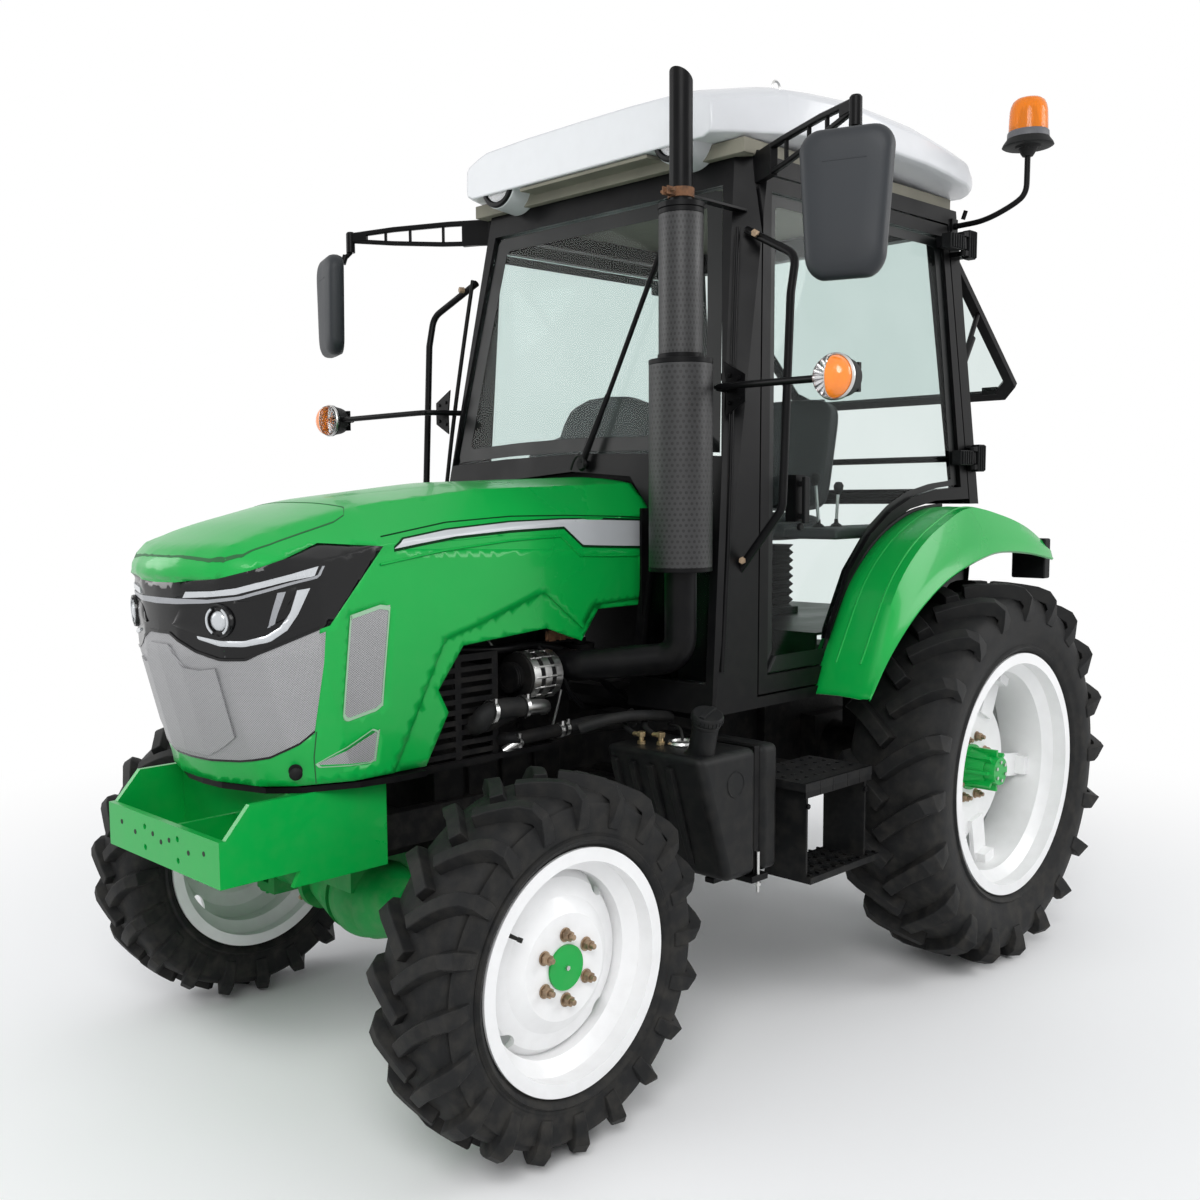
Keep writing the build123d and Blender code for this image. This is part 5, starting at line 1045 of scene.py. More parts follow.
ROOT_LINE = [(-0.480, 1.372), (-0.30, 1.412), (-0.03, 1.440), (0.14, 1.424), (0.28, 1.380), (0.402, 1.312),
             (0.518, 1.208), (0.626, 1.040), (0.706, 0.910)]
CREST_LINE = [(-0.468, 1.298), (-0.30, 1.370), (-0.11, 1.416), (0.09, 1.440), (0.24, 1.398), (0.38, 1.330),
              (0.505, 1.222), (0.620, 1.046), (0.704, 0.914)]
EDGE_LINE = [(-0.425, 1.262), (-0.25, 1.288), (-0.06, 1.300), (0.073, 1.284), (0.215, 1.249),
             (0.329, 1.207), (0.471, 1.128), (0.604, 1.022), (0.700, 0.915)]
ROOT_Y, CREST_Y, EDGE_Y = 0.578, 0.766, 0.7985
for side, sign in SIDES:
    lines = ((ROOT_Y, ROOT_LINE, 0.0), (0.640, None, 0.003), (0.700, None, 0.003), (0.745, None, 0.0),
             (CREST_Y, CREST_LINE, -0.002), (0.780, None, 0.0), (0.790, None, 0.0),
             (EDGE_Y, EDGE_LINE, 0.004), (0.802, EDGE_LINE, 0.0), (0.798, EDGE_LINE, -0.006))
    root, crest, edge = (curve_points(line, 70) for line in (ROOT_LINE, CREST_LINE, EDGE_LINE))
    builder = bmesh.new()
    rows = []
    for y, line, shift_z in lines:
        if y <= CREST_Y:
            share = (y - ROOT_Y) / (CREST_Y - ROOT_Y)
            base = [a.lerp(b, share) for a, b in zip(root, crest)]
        else:
            share = min(1.0, (y - CREST_Y) / (EDGE_Y - CREST_Y)) ** 1.3
            base = [a.lerp(b, share) for a, b in zip(crest, edge)]
        if line is EDGE_LINE:
            base = edge
        rows.append([builder.verts.new((R + p.x, sign * y, p.z + shift_z)) for p in base])
    for first, second in zip(rows, rows[1:]):
        for i in range(len(first) - 1):
            builder.faces.new((first[i], first[i + 1], second[i + 1], second[i]))
    fender = close(f"fender_{side}", builder, green, sharp=50)
    solid = fender.modifiers.new("sheet", "SOLIDIFY")
    solid.thickness = 0.004
    solid.offset = -1 if sign > 0 else 1
    builder = bmesh.new()
    floor_line = [(0.64, 0.92), (0.56, 0.92), (0.30, 1.0), (-0.24, 1.0), (-0.24, 1.40)]
    rim_points = [Vector((R + p.x, sign * 0.579, p.z - 0.006)) for p in curve_points(ROOT_LINE[1:-1], 30)]
    rim_points += [Vector((R + x, sign * 0.579, z)) for x, z in floor_line]
    corners = [builder.verts.new(p) for p in rim_points]
    bmesh.ops.triangulate(builder, faces=[builder.faces.new(corners)])
    arch = close(f"fender_liner_{side}", builder, black, sharp=30)
    solid = arch.modifiers.new("sheet", "SOLIDIFY")
    solid.thickness = 0.004
    # two pressed lines run along the crown
    for line_y, label in ((0.655, "inner"), (0.735, "outer")):
        share = (line_y - ROOT_Y) / (CREST_Y - ROOT_Y)
        route = [a.lerp(b, share) for a, b in zip(root, crest)][4:-3]
        pipe(f"fender_line_{label}_{side}", [(R + p.x, sign * line_y, p.z + 0.001) for p in route[::3]],
             0.0035, green)
    pipe(f"fender_seal_{side}",
         [(R + p.x, sign * 0.600, p.z + 0.006) for p in curve_points(ROOT_LINE[2:], 24)], 0.007, rubber)
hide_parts("fenders")


# The fuel tank is moulded in black plastic, with ribs down its front, a filler neck and a screw cap.
# A steel strap in a slot holds it on its tray; the sender, the tap and the hose tails stand on top.
moulded = surface("moulded_plastic", (0.006, 0.0065, 0.007), 0.48, vary=0.25, patch=5, grain=420,
                  relief=0.12, dust=0.06, dust_top=1.1, shine=0.18)
brass = surface("brass", (0.55, 0.42, 0.24), 0.35, metal=0.9, vary=0.2, patch=60)


def moulding(name, reach, inner, outer, low, high, material, width):
    """Box with a slanted front and well rounded edges; reach is its rear, top front and bottom front."""
    rear, top, bottom = reach
    outline = [(rear, low), (bottom, low), (top, high), (rear, high)]
    builder = bmesh.new()
    loop_faces(builder, [[Vector((F + x, y, z)) for x, z in outline] for y in (inner, outer)])
    piece = close(name, builder, material, sharp=60, bevel=width, segments=5)
    piece.modifiers["edges"].harden_normals = False
    return piece


TANK = (0.422, 0.748, 0.502, 0.838)  # inner side, outer side, bottom, top
front_part = moulding("tank_front", (-0.690, -0.456, -0.569), *TANK, moulded, 0.022)
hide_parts("fuel_tank")
moulding("tank_rear", (-0.784, -0.712, -0.712), *TANK, moulded, 0.020)
moulding("tank_waist", (-0.720, -0.680, -0.680), 0.430, 0.732, 0.512, 0.828, moulded, 0.012)
builder = bmesh.new()
for i in range(4):
    y = 0.455 + 0.062 * i
    top, low_point = Vector((F - 0.4585, y, 0.800)), Vector((F - 0.558, y, 0.535))
    across = Vector((0, 0.014, 0))
    out = (top - low_point).cross(Vector((0, 1, 0))).normalized()
    out = out if out.x > 0 else -out
    rings = []
    for spot, rise in ((top, 0.0), (top.lerp(low_point, 0.12), 0.0035), (top.lerp(low_point, 0.5), 0.0035),
                       (low_point, 0.0035)):
        rings.append([spot - across - out * 0.03, spot + across - out * 0.03,
                      spot + across * 0.7 + out * rise, spot - across * 0.7 + out * rise])
    loop_faces(builder, rings)
close("tank_ribs", builder, moulded, bevel=0.002)
neck_low, neck_high = Vector((F - 0.528, 0.690, 0.826)), Vector((F - 0.505, 0.732, 0.940))
lean = (neck_high - neck_low).normalized()
spun("filler_neck", moulded, [(0.0, 0.0), (0.046, 0.0), (0.041, 0.006), (0.036, 0.016), (0.0335, 0.030),
                              (0.033, 0.098), (0.036, 0.101), (0.036, 0.106), (0.033, 0.110), (0.0, 0.110)],
     neck_low, lean, steps=56)
builder = bmesh.new()
cap_low = neck_low + lean * 0.112
turned(builder, [(0.0, 0.0), (0.038, 0.0), (0.0405, 0.003), (0.0405, 0.015), (0.037, 0.021), (0.0, 0.022)],
       cap_low, lean, steps=56)
across = lean.orthogonal().normalized()
other = lean.cross(across)
for c, s in around(24):
    spot = cap_low + (across * c + other * s) * 0.0395
    rod(builder, spot + lean * 0.002, spot + lean * 0.015, 0.0024, sides=8)
grip = Vector((1, 0.25, 0)).cross(lean).cross(lean).normalized()
middle = cap_low + lean * 0.024
side = grip.cross(lean)
rings = []
for share, rise in ((-1.0, 0.001), (-0.8, 0.0045), (0.8, 0.0045), (1.0, 0.001)):
    spot = middle + grip * 0.033 * share
    rings.append([spot - side * 0.008 - lean * 0.004, spot + side * 0.008 - lean * 0.004,
                  spot + side * 0.006 + lean * rise, spot - side * 0.006 + lean * rise])
loop_faces(builder, rings)
close("tank_cap", builder, moulded, bevel=0.0012)
spun("tank_roundel", moulded, [(0.0, 0.0), (0.030, 0.0), (0.032, 0.0020), (0.0335, 0.0020), (0.035, 0.0)],
     (F - 0.600, 0.7485, 0.755), (0, 1, 0), steps=64)
builder = bmesh.new()
for y0, y1, z0, z1 in ((0.7335, 0.7385, 0.492, 0.836), (0.420, 0.738, 0.8335, 0.8385),
                       (0.420, 0.738, 0.490, 0.495)):
    box(builder, F - 0.711, F - 0.690, y0, y1, z0, z1)
close("tank_strap", builder, black, bevel=0.0015)
builder = bmesh.new()
strap_x = F - 0.7005
rod(builder, (strap_x, 0.744, 0.452), (strap_x, 0.744, 0.560), 0.005, sides=16)
rod(builder, (strap_x, 0.744, 0.470), (strap_x, 0.744, 0.478), 0.0095, sides=6)
close("strap_screw", builder, steel)
builder = bmesh.new()
box(builder, F - 0.735, F - 0.665, 0.44, 0.752, 0.482, 0.4995)
for y in (0.47, 0.66):
    box(builder, F - 0.775, F - 0.585, y, y + 0.030, 0.486, 0.5005)
close("tank_tray", builder, black, bevel=0.002)
spun("tank_sender", steel, [(0.0, 0.0), (0.038, 0.0), (0.040, 0.004), (0.037, 0.010), (0.028, 0.011),
                            (0.026, 0.006), (0.0, 0.006)], (F - 0.585, 0.585, 0.8375))
builder = bmesh.new()
for x, y in ((-0.520, 0.500), (-0.545, 0.545)):
    rod(builder, (F + x, y, 0.836), (F + x, y, 0.846), 0.0115, sides=6)
    rod(builder, (F + x, y, 0.846), (F + x, y, 0.858), 0.007, sides=20)
    rod(builder, (F + x, y, 0.858), (F + x, y, 0.870), 0.012, sides=6)
    rod(builder, (F + x, y, 0.862), (F + x, y - 0.028, 0.862), 0.006, sides=16)
close("tank_taps", builder, brass, bevel=0.0008)
for name, points, radius in (("feed_hose", [(-0.545, 0.520, 0.862), (-0.556, 0.48, 0.868),
                                            (-0.60, 0.44, 0.885), (-0.68, 0.40, 0.89)], 0.008),
                             ("return_hose", [(-0.520, 0.474, 0.862), (-0.530, 0.43, 0.870),
                                              (-0.58, 0.38, 0.89), (-0.66, 0.34, 0.89)], 0.007),
                             ("sender_wire", [(-0.585, 0.585, 0.850), (-0.60, 0.57, 0.872),
                                              (-0.64, 0.52, 0.872), (-0.69, 0.45, 0.86)], 0.004),
                             ("big_hose", [(-0.43, 0.36, 0.872), (-0.47, 0.400, 0.892),
                                           (-0.53, 0.45, 0.905), (-0.60, 0.475, 0.900),
                                           (-0.68, 0.46, 0.885)], 0.015)):
    pipe(name, placed(points), radius, rubber)

# The battery box on the right is moulded too, with a lid held down by two clips.
case = moulding("battery_case", (-0.784, -0.514, -0.612), 0.422, 0.698, 0.562, 0.780, moulded, 0.014)
lid = moulding("battery_lid", (-0.784, -0.512, -0.528), 0.421, 0.699, 0.784, 0.819, moulded, 0.010)
for piece in (case, lid):
    for vertex in piece.data.vertices:
        vertex.co.y = -vertex.co.y
    piece.data.flip_normals()
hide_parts("battery_box")
builder = bmesh.new()
for x in (-0.60, -0.72):
    box(builder, F + x - 0.012, F + x + 0.012, -0.6985, -0.6945, 0.735, 0.800)
    box(builder, F + x - 0.009, F + x + 0.009, -0.699, -0.690, 0.792, 0.806)
close("battery_clips", builder, steel, bevel=0.001)

# Each pair of steps is cut sheet steel: two treads with raised grips, and a lip along the upper one.
for side, sign in SIDES:
    builder = bmesh.new()
    for i in range(7):
        for k in range(4):
            x, y = F - 1.110 + 0.043 * i, 0.625 + 0.045 * k
            turned(builder, [(0.0, 0.0035), (0.004, 0.0035), (0.009, 0.0), (0.009, -0.002)],
                   (x, sign * y, 0.7275), (0, 0, 1), steps=16)
    for i in range(9):
        for y in (0.661, 0.705, 0.749, 0.793):
            x = F - 1.182 + 0.040 * i
            box(builder, x - 0.003, x + 0.003, sign * y - 0.006, sign * y + 0.006, 0.467, 0.4735)
    close(f"step_grips_{side}", builder, black, bevel=0.0008)
    builder = bmesh.new()
    box(builder, F - 1.140, F - 0.822, sign * 0.800, sign * 0.8075, 0.688, 0.728)
    for x in (-1.08, -1.02, -0.95, -0.89):
        box(builder, F + x - 0.003, F + x + 0.003, sign * 0.803, sign * 0.8085, 0.690, 0.727)
    for x in (-0.858, -1.136):
        rod(builder, (F + x + 0.004, sign * 0.789, 0.66), (F + x + 0.004, sign * 0.797, 0.66), 0.008,
            sides=6)
    close(f"step_lips_{side}", builder, black, bevel=0.0015)


# The mirrors hang from cast arms with open webs. Each head is a moulded shell around a flat glass, on a
# short stem below the arm's outer end.
def blend_ring(width, height, corner, taper, count=10):
    """Rounded outline in (across, up), narrower at its foot by the taper."""
    ring = []
    for cx, cz, start in ((1, 1, 0), (-1, 1, 90), (-1, -1, 180), (1, -1, 270)):
        for i in range(count + 1):
            angle = math.radians(start + 90 * i / count)
            across = cx * (width / 2 - corner) + corner * math.cos(angle)
            up = cz * (height / 2 - corner) + corner * math.sin(angle)
            ring.append((across * (1 - taper * (0.5 - up / height)), up))
    return ring


mirror_glass = surface("mirror_glass", (0.86, 0.88, 0.88), 0.03, metal=1.0, vary=0.02, relief=0.0)
shell_grey = surface("mirror_shell", (0.020, 0.023, 0.027), 0.50, vary=0.12, patch=4, grain=500,
                     relief=0.10, shine=0.35)
for side, sign in SIDES:
    centre = Vector((F - 0.628, sign * 1.030, 2.146))
    across = Vector((-math.sin(math.radians(22)), sign * math.cos(math.radians(22)), 0))
    ahead = Vector((math.cos(math.radians(22)), sign * math.sin(math.radians(22)), 0))
    rings = []
    for depth, share, corner in ((-0.024, 0.91, 0.045), (-0.0255, 0.935, 0.047), (-0.024, 0.955, 0.048),
                                 (-0.010, 0.995, 0.052), (0.004, 0.995, 0.052), (0.014, 0.975, 0.052),
                                 (0.022, 0.93, 0.052), (0.028, 0.85, 0.050), (0.031, 0.72, 0.044),
                                 (0.0325, 0.45, 0.030)):
        outline = blend_ring(0.222 * share, 0.338 * (1 - (1 - share) * 0.75), corner, 0.20)
        rings.append([centre + across * a + Vector((0, 0, 1)) * b + ahead * depth for a, b in outline])
    builder = bmesh.new()
    loop_faces(builder, rings)
    head = close(f"mirror_head_{side}", builder, shell_grey, sharp=60)
    if sign > 0:
        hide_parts("mirrors")
    builder = bmesh.new()
    outline = blend_ring(0.196, 0.310, 0.042, 0.20)
    loop_faces(builder, [[centre + across * a + Vector((0, 0, 1)) * b + ahead * depth for a,
                          b in outline] for depth in (-0.0262, -0.0245)])
    close(f"mirror_glass_{side}", builder, mirror_glass, sharp=40)
    builder = bmesh.new()
    box(builder, -0.050, 0.050, -0.0015, 0.0015, -0.0015, 0.0015)
    place_line = Matrix((across, ahead, Vector((0, 0, 1)))).transposed().to_4x4()
    place_line.translation = centre + ahead * 0.0318 + Vector((0, 0, 0.092))
    bmesh.ops.transform(builder, matrix=place_line, verts=builder.verts)
    close(f"mirror_line_{side}", builder, shell_grey, sharp=40, bevel=0.0006)
    # the arm: two chords that part from a bend over the head, upright webs between, and a block at the cab
    root, tip = Vector((F - 0.944, sign * 0.545, 0)), Vector((F - 0.706, sign * 0.995, 0))
    along = (tip - root).normalized()
    beside = Vector((-along.y, along.x, 0))
    builder = bmesh.new()
    for heights, thick in ((((0.0, 2.4005), (0.3, 2.404), (0.7, 2.402), (1.0, 2.394)), 0.0085),
                           (((0.0, 2.331), (0.35, 2.340), (0.7, 2.356), (1.0, 2.374)), 0.0075)):
        rings = []
        for share, height in heights:
            spot = root.lerp(tip, share)
            wide, tall = thick * (1.25 - 0.35 * share), thick
            rings.append([spot + beside * a * wide + Vector((0, 0, height + b * tall)) for a,
                          b in ((-1, -0.6), (-0.6, -1), (0.6, -1), (1, -0.6), (1, 0.6), (0.6, 1), (-0.6, 1),
                                (-1, 0.6))])
        loop_faces(builder, rings)
    for share, z0, z1 in ((0.34, 2.338, 2.402), (0.58, 2.349, 2.401), (0.76, 2.358, 2.400)):
        spot = root.lerp(tip, share)
        rings = [[spot + along * a * 0.004 + beside * b * 0.005 + Vector((0, 0, z)) for a,
                  b in ((-1, -1), (1, -1), (1, 1), (-1, 1))] for z in (z0, z1)]
        loop_faces(builder, rings)
    for start, end, z0, z1, wide in ((-0.03, 0.20, 2.3265, 2.4045, 0.011),
                                     (0.90, 1.01, 2.372, 2.400, 0.009)):
        p, q = root.lerp(tip, start), root.lerp(tip, end)
        rings = [[spot + beside * a * wide + Vector((0, 0, z)) for a,
                  z in ((-1, z0), (1, z0), (1, z1), (-1, z1))] for spot in (p, q)]
        loop_faces(builder, rings)
    post = (F - 0.700, sign * 1.006)
    rod(builder, (*post, 2.335), (*post, 2.400), 0.0155, 0.0150, sides=28)
    rod(builder, (*post, 2.400), (*post, 2.4055), 0.0150, 0.0110, sides=28)
    for z in (2.318, 2.408):
        rod(builder, (root.x, root.y, z), (root.x, root.y, z + 0.006 if z > 2.4 else z - 0.006), 0.014,
            0.012, sides=20)
    rod(builder, (root.x, root.y, 2.312), (root.x, root.y, 2.412), 0.012, sides=20)
    close(f"mirror_arm_{side}", builder, black, bevel=0.0012)
    builder = bmesh.new()
    rod(builder, (*post, 2.337), (F - 0.682, sign * 1.012, 2.318), 0.008, sides=20)
    rod(builder, (F - 0.682, sign * 1.012, 2.325), (F - 0.672, sign * 1.014, 2.296), 0.010, sides=20)
    close(f"mirror_stem_{side}", builder, black)

# The turn lamps stand on bent tubes beside the cab. Each has a black drum, a bright ring and a domed lens,
# clear towards the tractor and amber outside, and a bracket with its screws behind it.
amber_lens = surface("amber_lens", (0.95, 0.24, 0.012), 0.18, vary=0.08, patch=40, grain=160, relief=0.5,
                     coat=0.7)


def dome(builder, centre, axis, start, outline, steps=28):
    """Half turn of an outline of (radius, distance along the axis), from the direction start."""
    corners = [builder.verts.new(Vector(centre) + start * radius + axis * along) for radius,
               along in outline]
    edges = [builder.edges.new((corners[i], corners[i + 1])) for i in range(len(corners) - 1)]
    bmesh.ops.spin(builder, geom=corners + edges, cent=centre, axis=axis, angle=math.pi, steps=steps,
                   use_merge=True)


ahead = Vector((1, 0, 0))
DRUM = [(0.0, -0.0515), (0.036, -0.0515), (0.041, -0.049), (0.0445, -0.040), (0.050, -0.012),
        (0.0535, -0.006), (0.0535, 0.001), (0.0, 0.001)]
LENS = [(0.0, 0.0455), (0.012, 0.0448), (0.024, 0.0422), (0.034, 0.0375), (0.042, 0.0305), (0.0475, 0.0215),
        (0.0495, 0.010), (0.0495, 0.004)]
for side, sign in SIDES:
    centre = Vector((F - 0.607, sign * 1.021, 1.756))
    drum = spun(f"turn_lamp_drum_{side}", plastic, DRUM, centre, ahead, steps=64)
    if sign > 0:
        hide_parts("turn_lamps")
    spun(f"turn_lamp_rim_{side}", steel, [(0.049, 0.0), (0.0540, 0.0), (0.0547, 0.004), (0.0535, 0.0075),
                                          (0.0515, 0.0095), (0.049, 0.008), (0.049, 0.0)], centre, ahead,
         steps=72, sharp=40)
    builder = bmesh.new()
    turned(builder, [(0.0, 0.006), (0.012, 0.0055), (0.030, 0.003), (0.048, 0.0035)], centre, ahead,
           steps=48)
    for i in range(9):
        angle = math.radians(90 + sign * (18 + 18 * i))
        out = Vector((0, math.cos(angle), math.sin(angle)))
        start_point = centre + ahead * 0.008 + out * 0.006
        rod(builder, start_point, centre + ahead * 0.010 + out * 0.046, 0.002, 0.0055, sides=8)
    close(f"turn_lamp_bowl_{side}", builder, bowl, sharp=45)
    top = Vector((0, 0, 1))
    builder = bmesh.new()
    dome(builder, centre, ahead, -top * sign, LENS)
    close(f"turn_lamp_amber_{side}", builder, amber_lens, sharp=60)
    builder = bmesh.new()
    dome(builder, centre, ahead, top * sign, LENS)
    close(f"turn_lamp_clear_{side}", builder, clear, sharp=60)
    builder = bmesh.new()
    arc = [centre + ahead * 0.0462 * math.cos(math.radians(7.2 * (i - 12))) ** 0.55
           + top * 0.0497 * math.sin(math.radians(7.2 * (i - 12))) for i in range(25)]
    for a, b in zip(arc, arc[1:]):
        rod(builder, a, b, 0.0010, sides=6)
    close(f"turn_lamp_seam_{side}", builder, steel, sharp=60)
    pipe(f"turn_lamp_tube_{side}", placed([(-0.842, 0.555, 1.765), (-0.742, 0.582, 1.765),
                                           (-0.697, 0.602, 1.765), (-0.684, 0.660, 1.764),
                                           (-0.640, 0.88, 1.759), (-0.626, 0.972, 1.757)], sign), 0.009,
         black)
    builder = bmesh.new()
    box(builder, F - 0.668, F - 0.656, sign * 0.985, sign * 1.052, 1.722, 1.790)
    for z in (1.732, 1.780):
        rod(builder, (F - 0.676, sign * 1.020, z), (F - 0.655, sign * 1.020, z), 0.006, sides=6)
    rod(builder, (F - 0.650, sign * 0.950, 1.757), (F - 0.662, sign * 1.01, 1.757), 0.010, sides=16)
    corners = [(-0.830, 0.560), (-0.690, 0.600), (-0.672, 0.690), (-0.790, 0.600)]
    loop_faces(builder, [[Vector((F + x, sign * y, z)) for x, y in corners] for z in (1.7615, 1.7685)])
    corners = [(1.695, 0.577), (1.765, 0.577), (1.84, 0.566), (1.800, 0.640), (1.730, 0.640)]
    loop_faces(builder, [[Vector((F + x, sign * y, z)) for z, y in corners] for x in (-0.776, -0.771)])
    for y, z in ((0.622, 1.792), (0.622, 1.740), (0.588, 1.800), (0.588, 1.728)):
        rod(builder, (F - 0.778, sign * y, z), (F - 0.766, sign * y, z), 0.006, sides=6)
    close(f"turn_lamp_bracket_{side}", builder, black, bevel=0.001)

# The beacon is a fluted amber dome on a grey flange and a black rubber foot, plugged on a bent tube.
beacon_spot = Vector((F - 2.000, 0.800, 0))
upright = Vector((0, 0, 1))
beacon_dome, tree, shader, place = blank("beacon_dome")
put(tree, shader.inputs["Base Color"], (1.0, 0.27, 0.012))
for socket, value in (("Roughness", 0.12), ("Transmission Weight", 0.35), ("IOR", 1.35)):
    shader.inputs[socket].default_value = value
base_grey = surface("beacon_flange", (0.10, 0.10, 0.11), 0.5, vary=0.1)
builder = bmesh.new()
turned(builder, [(0.0, 2.556), (0.036, 2.556), (0.040, 2.562), (0.072, 2.560), (0.077, 2.563),
                 (0.074, 2.570), (0.064, 2.584), (0.062, 2.588), (0.0, 2.588)], beacon_spot, upright,
       steps=72)
turned(builder, [(0.0, 2.532), (0.016, 2.532), (0.021, 2.540), (0.030, 2.558), (0.0, 2.558)], beacon_spot,
       upright, steps=40)
foot = close("beacon_foot", builder, rubber)
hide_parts("beacon")
spun("beacon_flange", base_grey, [(0.060, 2.584), (0.063, 2.586), (0.062, 2.603), (0.0595, 2.607),
                                  (0.054, 2.607), (0.054, 2.584), (0.060, 2.584)], beacon_spot, upright,
     steps=72)
builder = bmesh.new()
outline = [(0.0585, 2.605), (0.0575, 2.640), (0.0562, 2.668), (0.053, 2.684), (0.047, 2.697),
           (0.037, 2.705), (0.024, 2.7085), (0.0, 2.7095)]
rings = []
for radius, z in outline[:-1]:
    flutes = [radius - 0.0008 * (k % 2) for k in range(72)]
    rings.append([beacon_spot + Vector((flute * c, flute * s, z)) for flute,
                  (c, s) in zip(flutes, around(72))])
loop_faces(builder, rings)
close("beacon_lens", builder, beacon_dome, sharp=50)
builder = bmesh.new()
turned(builder, [(0.0, 2.606), (0.050, 2.606), (0.050, 2.617), (0.045, 2.622), (0.022, 2.624),
                 (0.022, 2.632), (0.0, 2.634)], beacon_spot, upright, steps=48)
for i in range(9):
    out = Vector((math.cos(i * 0.7), math.sin(i * 0.7), 0))
    rod(builder, beacon_spot + out * 0.020 + upright * 2.632, beacon_spot + out * 0.014 + upright * 2.676,
        0.003, sides=8)
close("beacon_core", builder, surface("beacon_core", (0.22, 0.05, 0.01), 0.4, vary=0.3), sharp=50)
pipe("beacon_tube", placed([(-1.962, 0.548, 2.347), (-1.970, 0.600, 2.349), (-1.972, 0.680, 2.352),
                            (-1.990, 0.765, 2.39), (-2.000, 0.799, 2.42), (-2.000, 0.800, 2.48),
                            (-2.000, 0.800, 2.540)]), 0.009, black)
builder = bmesh.new()
box(builder, F - 1.985, F - 1.948, 0.560, 0.578, 2.325, 2.372)
rod(builder, (F - 1.966, 0.574, 2.348), (F - 1.966, 0.587, 2.348), 0.011, sides=6)
rod(builder, (F - 1.975, 0.60, 2.368), (F - 1.975, 0.61, 2.395), 0.007, sides=16)
close("beacon_bracket", builder, black, bevel=0.001)

# Each grab rail is bent tube, flattened and bolted at both ends.
builder = bmesh.new()
for sign in (1, -1):
    for x, y, z in ((-0.868, 0.600, 2.176), (-0.800, 0.618, 1.312)):
        rod(builder, (F + x, sign * y, z), (F + x + 0.016, sign * (y + 0.006), z), 0.010, sides=6)
close("rail_bolts", builder, rust)


# The seat is foam under ribbed vinyl, on a rubber bellows. Cushion and back are crowned, with sewn channels
# across them and sides that pull in between the corners.
def cushion(name, replaced, length, width, height, place, channels):
    """Crowned pad with sewn channels; its length, width and height lie along the place's axes."""
    builder = bmesh.new()
    bmesh.ops.create_cube(builder, size=2.0)
    bmesh.ops.subdivide_edges(builder, edges=builder.edges[:], cuts=39, use_grid_fill=True)
    for vertex in builder.verts:
        u, v, w = vertex.co
        shrink = (abs(u) ** 7 + abs(v) ** 7 + abs(w) ** 7) ** (-1 / 7)
        u, v, w = u * shrink, v * shrink, w * shrink
        crown = 0.80 + 0.20 * (1 - u ** 4) * (1 - v ** 4)
        waist = 1 - 0.018 * (1 - w * w)
        depth = 0.0
        if w > 0:
            for channel in channels if abs(v) < 0.62 else ():
                depth = max(depth, 0.007 * math.exp(-((u - channel) / 0.020) ** 2))
            depth = max(depth, 0.009 * math.exp(-((abs(v) - 0.64) / 0.022) ** 2))
        seam = 0.0025 * math.exp(-((w - 0.35) / 0.05) ** 2)
        vertex.co = (u * length / 2 * waist - math.copysign(seam, u) * (abs(u) > 0.9),
                     v * width / 2 * waist - math.copysign(seam, v) * (abs(v) > 0.9),
                     w * height / 2 * crown - depth)
    bmesh.ops.transform(builder, matrix=place, verts=builder.verts)
    piece = close(name, builder, vinyl, sharp=75)
    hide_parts(replaced)


low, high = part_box("seat_cushion")
seat = (Vector(low) + Vector(high)) / 2
cushion("seat_pad", "seat_cushion", 0.490, 0.484, 0.098,
        Matrix.Translation(seat) @ Matrix.Rotation(math.radians(-1), 4, "Y"), (-0.45, -0.1, 0.25, 0.6))
lean = Matrix.Rotation(math.radians(-12), 4, "Y")
back_place = Matrix.Translation((R + 0.080, 0, 1.410)) @ lean @ Matrix.Translation((0, 0, 0.215))
for degrees, about in ((90, "Y"), (180, "Z"), (180, "X")):
    back_place = back_place @ Matrix.Rotation(math.radians(degrees), 4, about)
cushion("seat_back_pad", "seat_back", 0.390, 0.444, 0.092, back_place, (-0.55, -0.2, 0.15, 0.5))
builder = bmesh.new()
rings = []
low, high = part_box("seat_base")
middle = Vector(((low[0] + high[0]) / 2, 0, 0))
for i in range(17):
    z = low[2] + 0.02 + (high[2] - low[2] - 0.035) * i / 16
    wide = 0.163 - (0.012 if i % 2 else 0.0)
    rings.append([middle + Vector((a * (wide + 0.01), b * wide, z)) for a,
                  b in ((-1, -0.85), (-0.85, -1), (0.85, -1), (1, -0.85), (1, 0.85), (0.85, 1), (-0.85, 1),
                        (-1, 0.85))])
loop_faces(builder, rings)
box(builder, middle.x - 0.175, middle.x + 0.175, -0.165, 0.165, low[2], low[2] + 0.022)
base = close("seat_bellows", builder, rubber, bevel=0.003)
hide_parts("seat_base")
builder = bmesh.new()
for sign in (1, -1):
    rod(builder, (R + 0.13, sign * 0.252, 1.35), (R + 0.20, sign * 0.262, 1.35), 0.009, sides=16)
    rod(builder, (R + 0.20, sign * 0.262, 1.35), (R + 0.25, sign * 0.262, 1.36), 0.014, 0.012, sides=16)
close("seat_levers", builder, plastic)

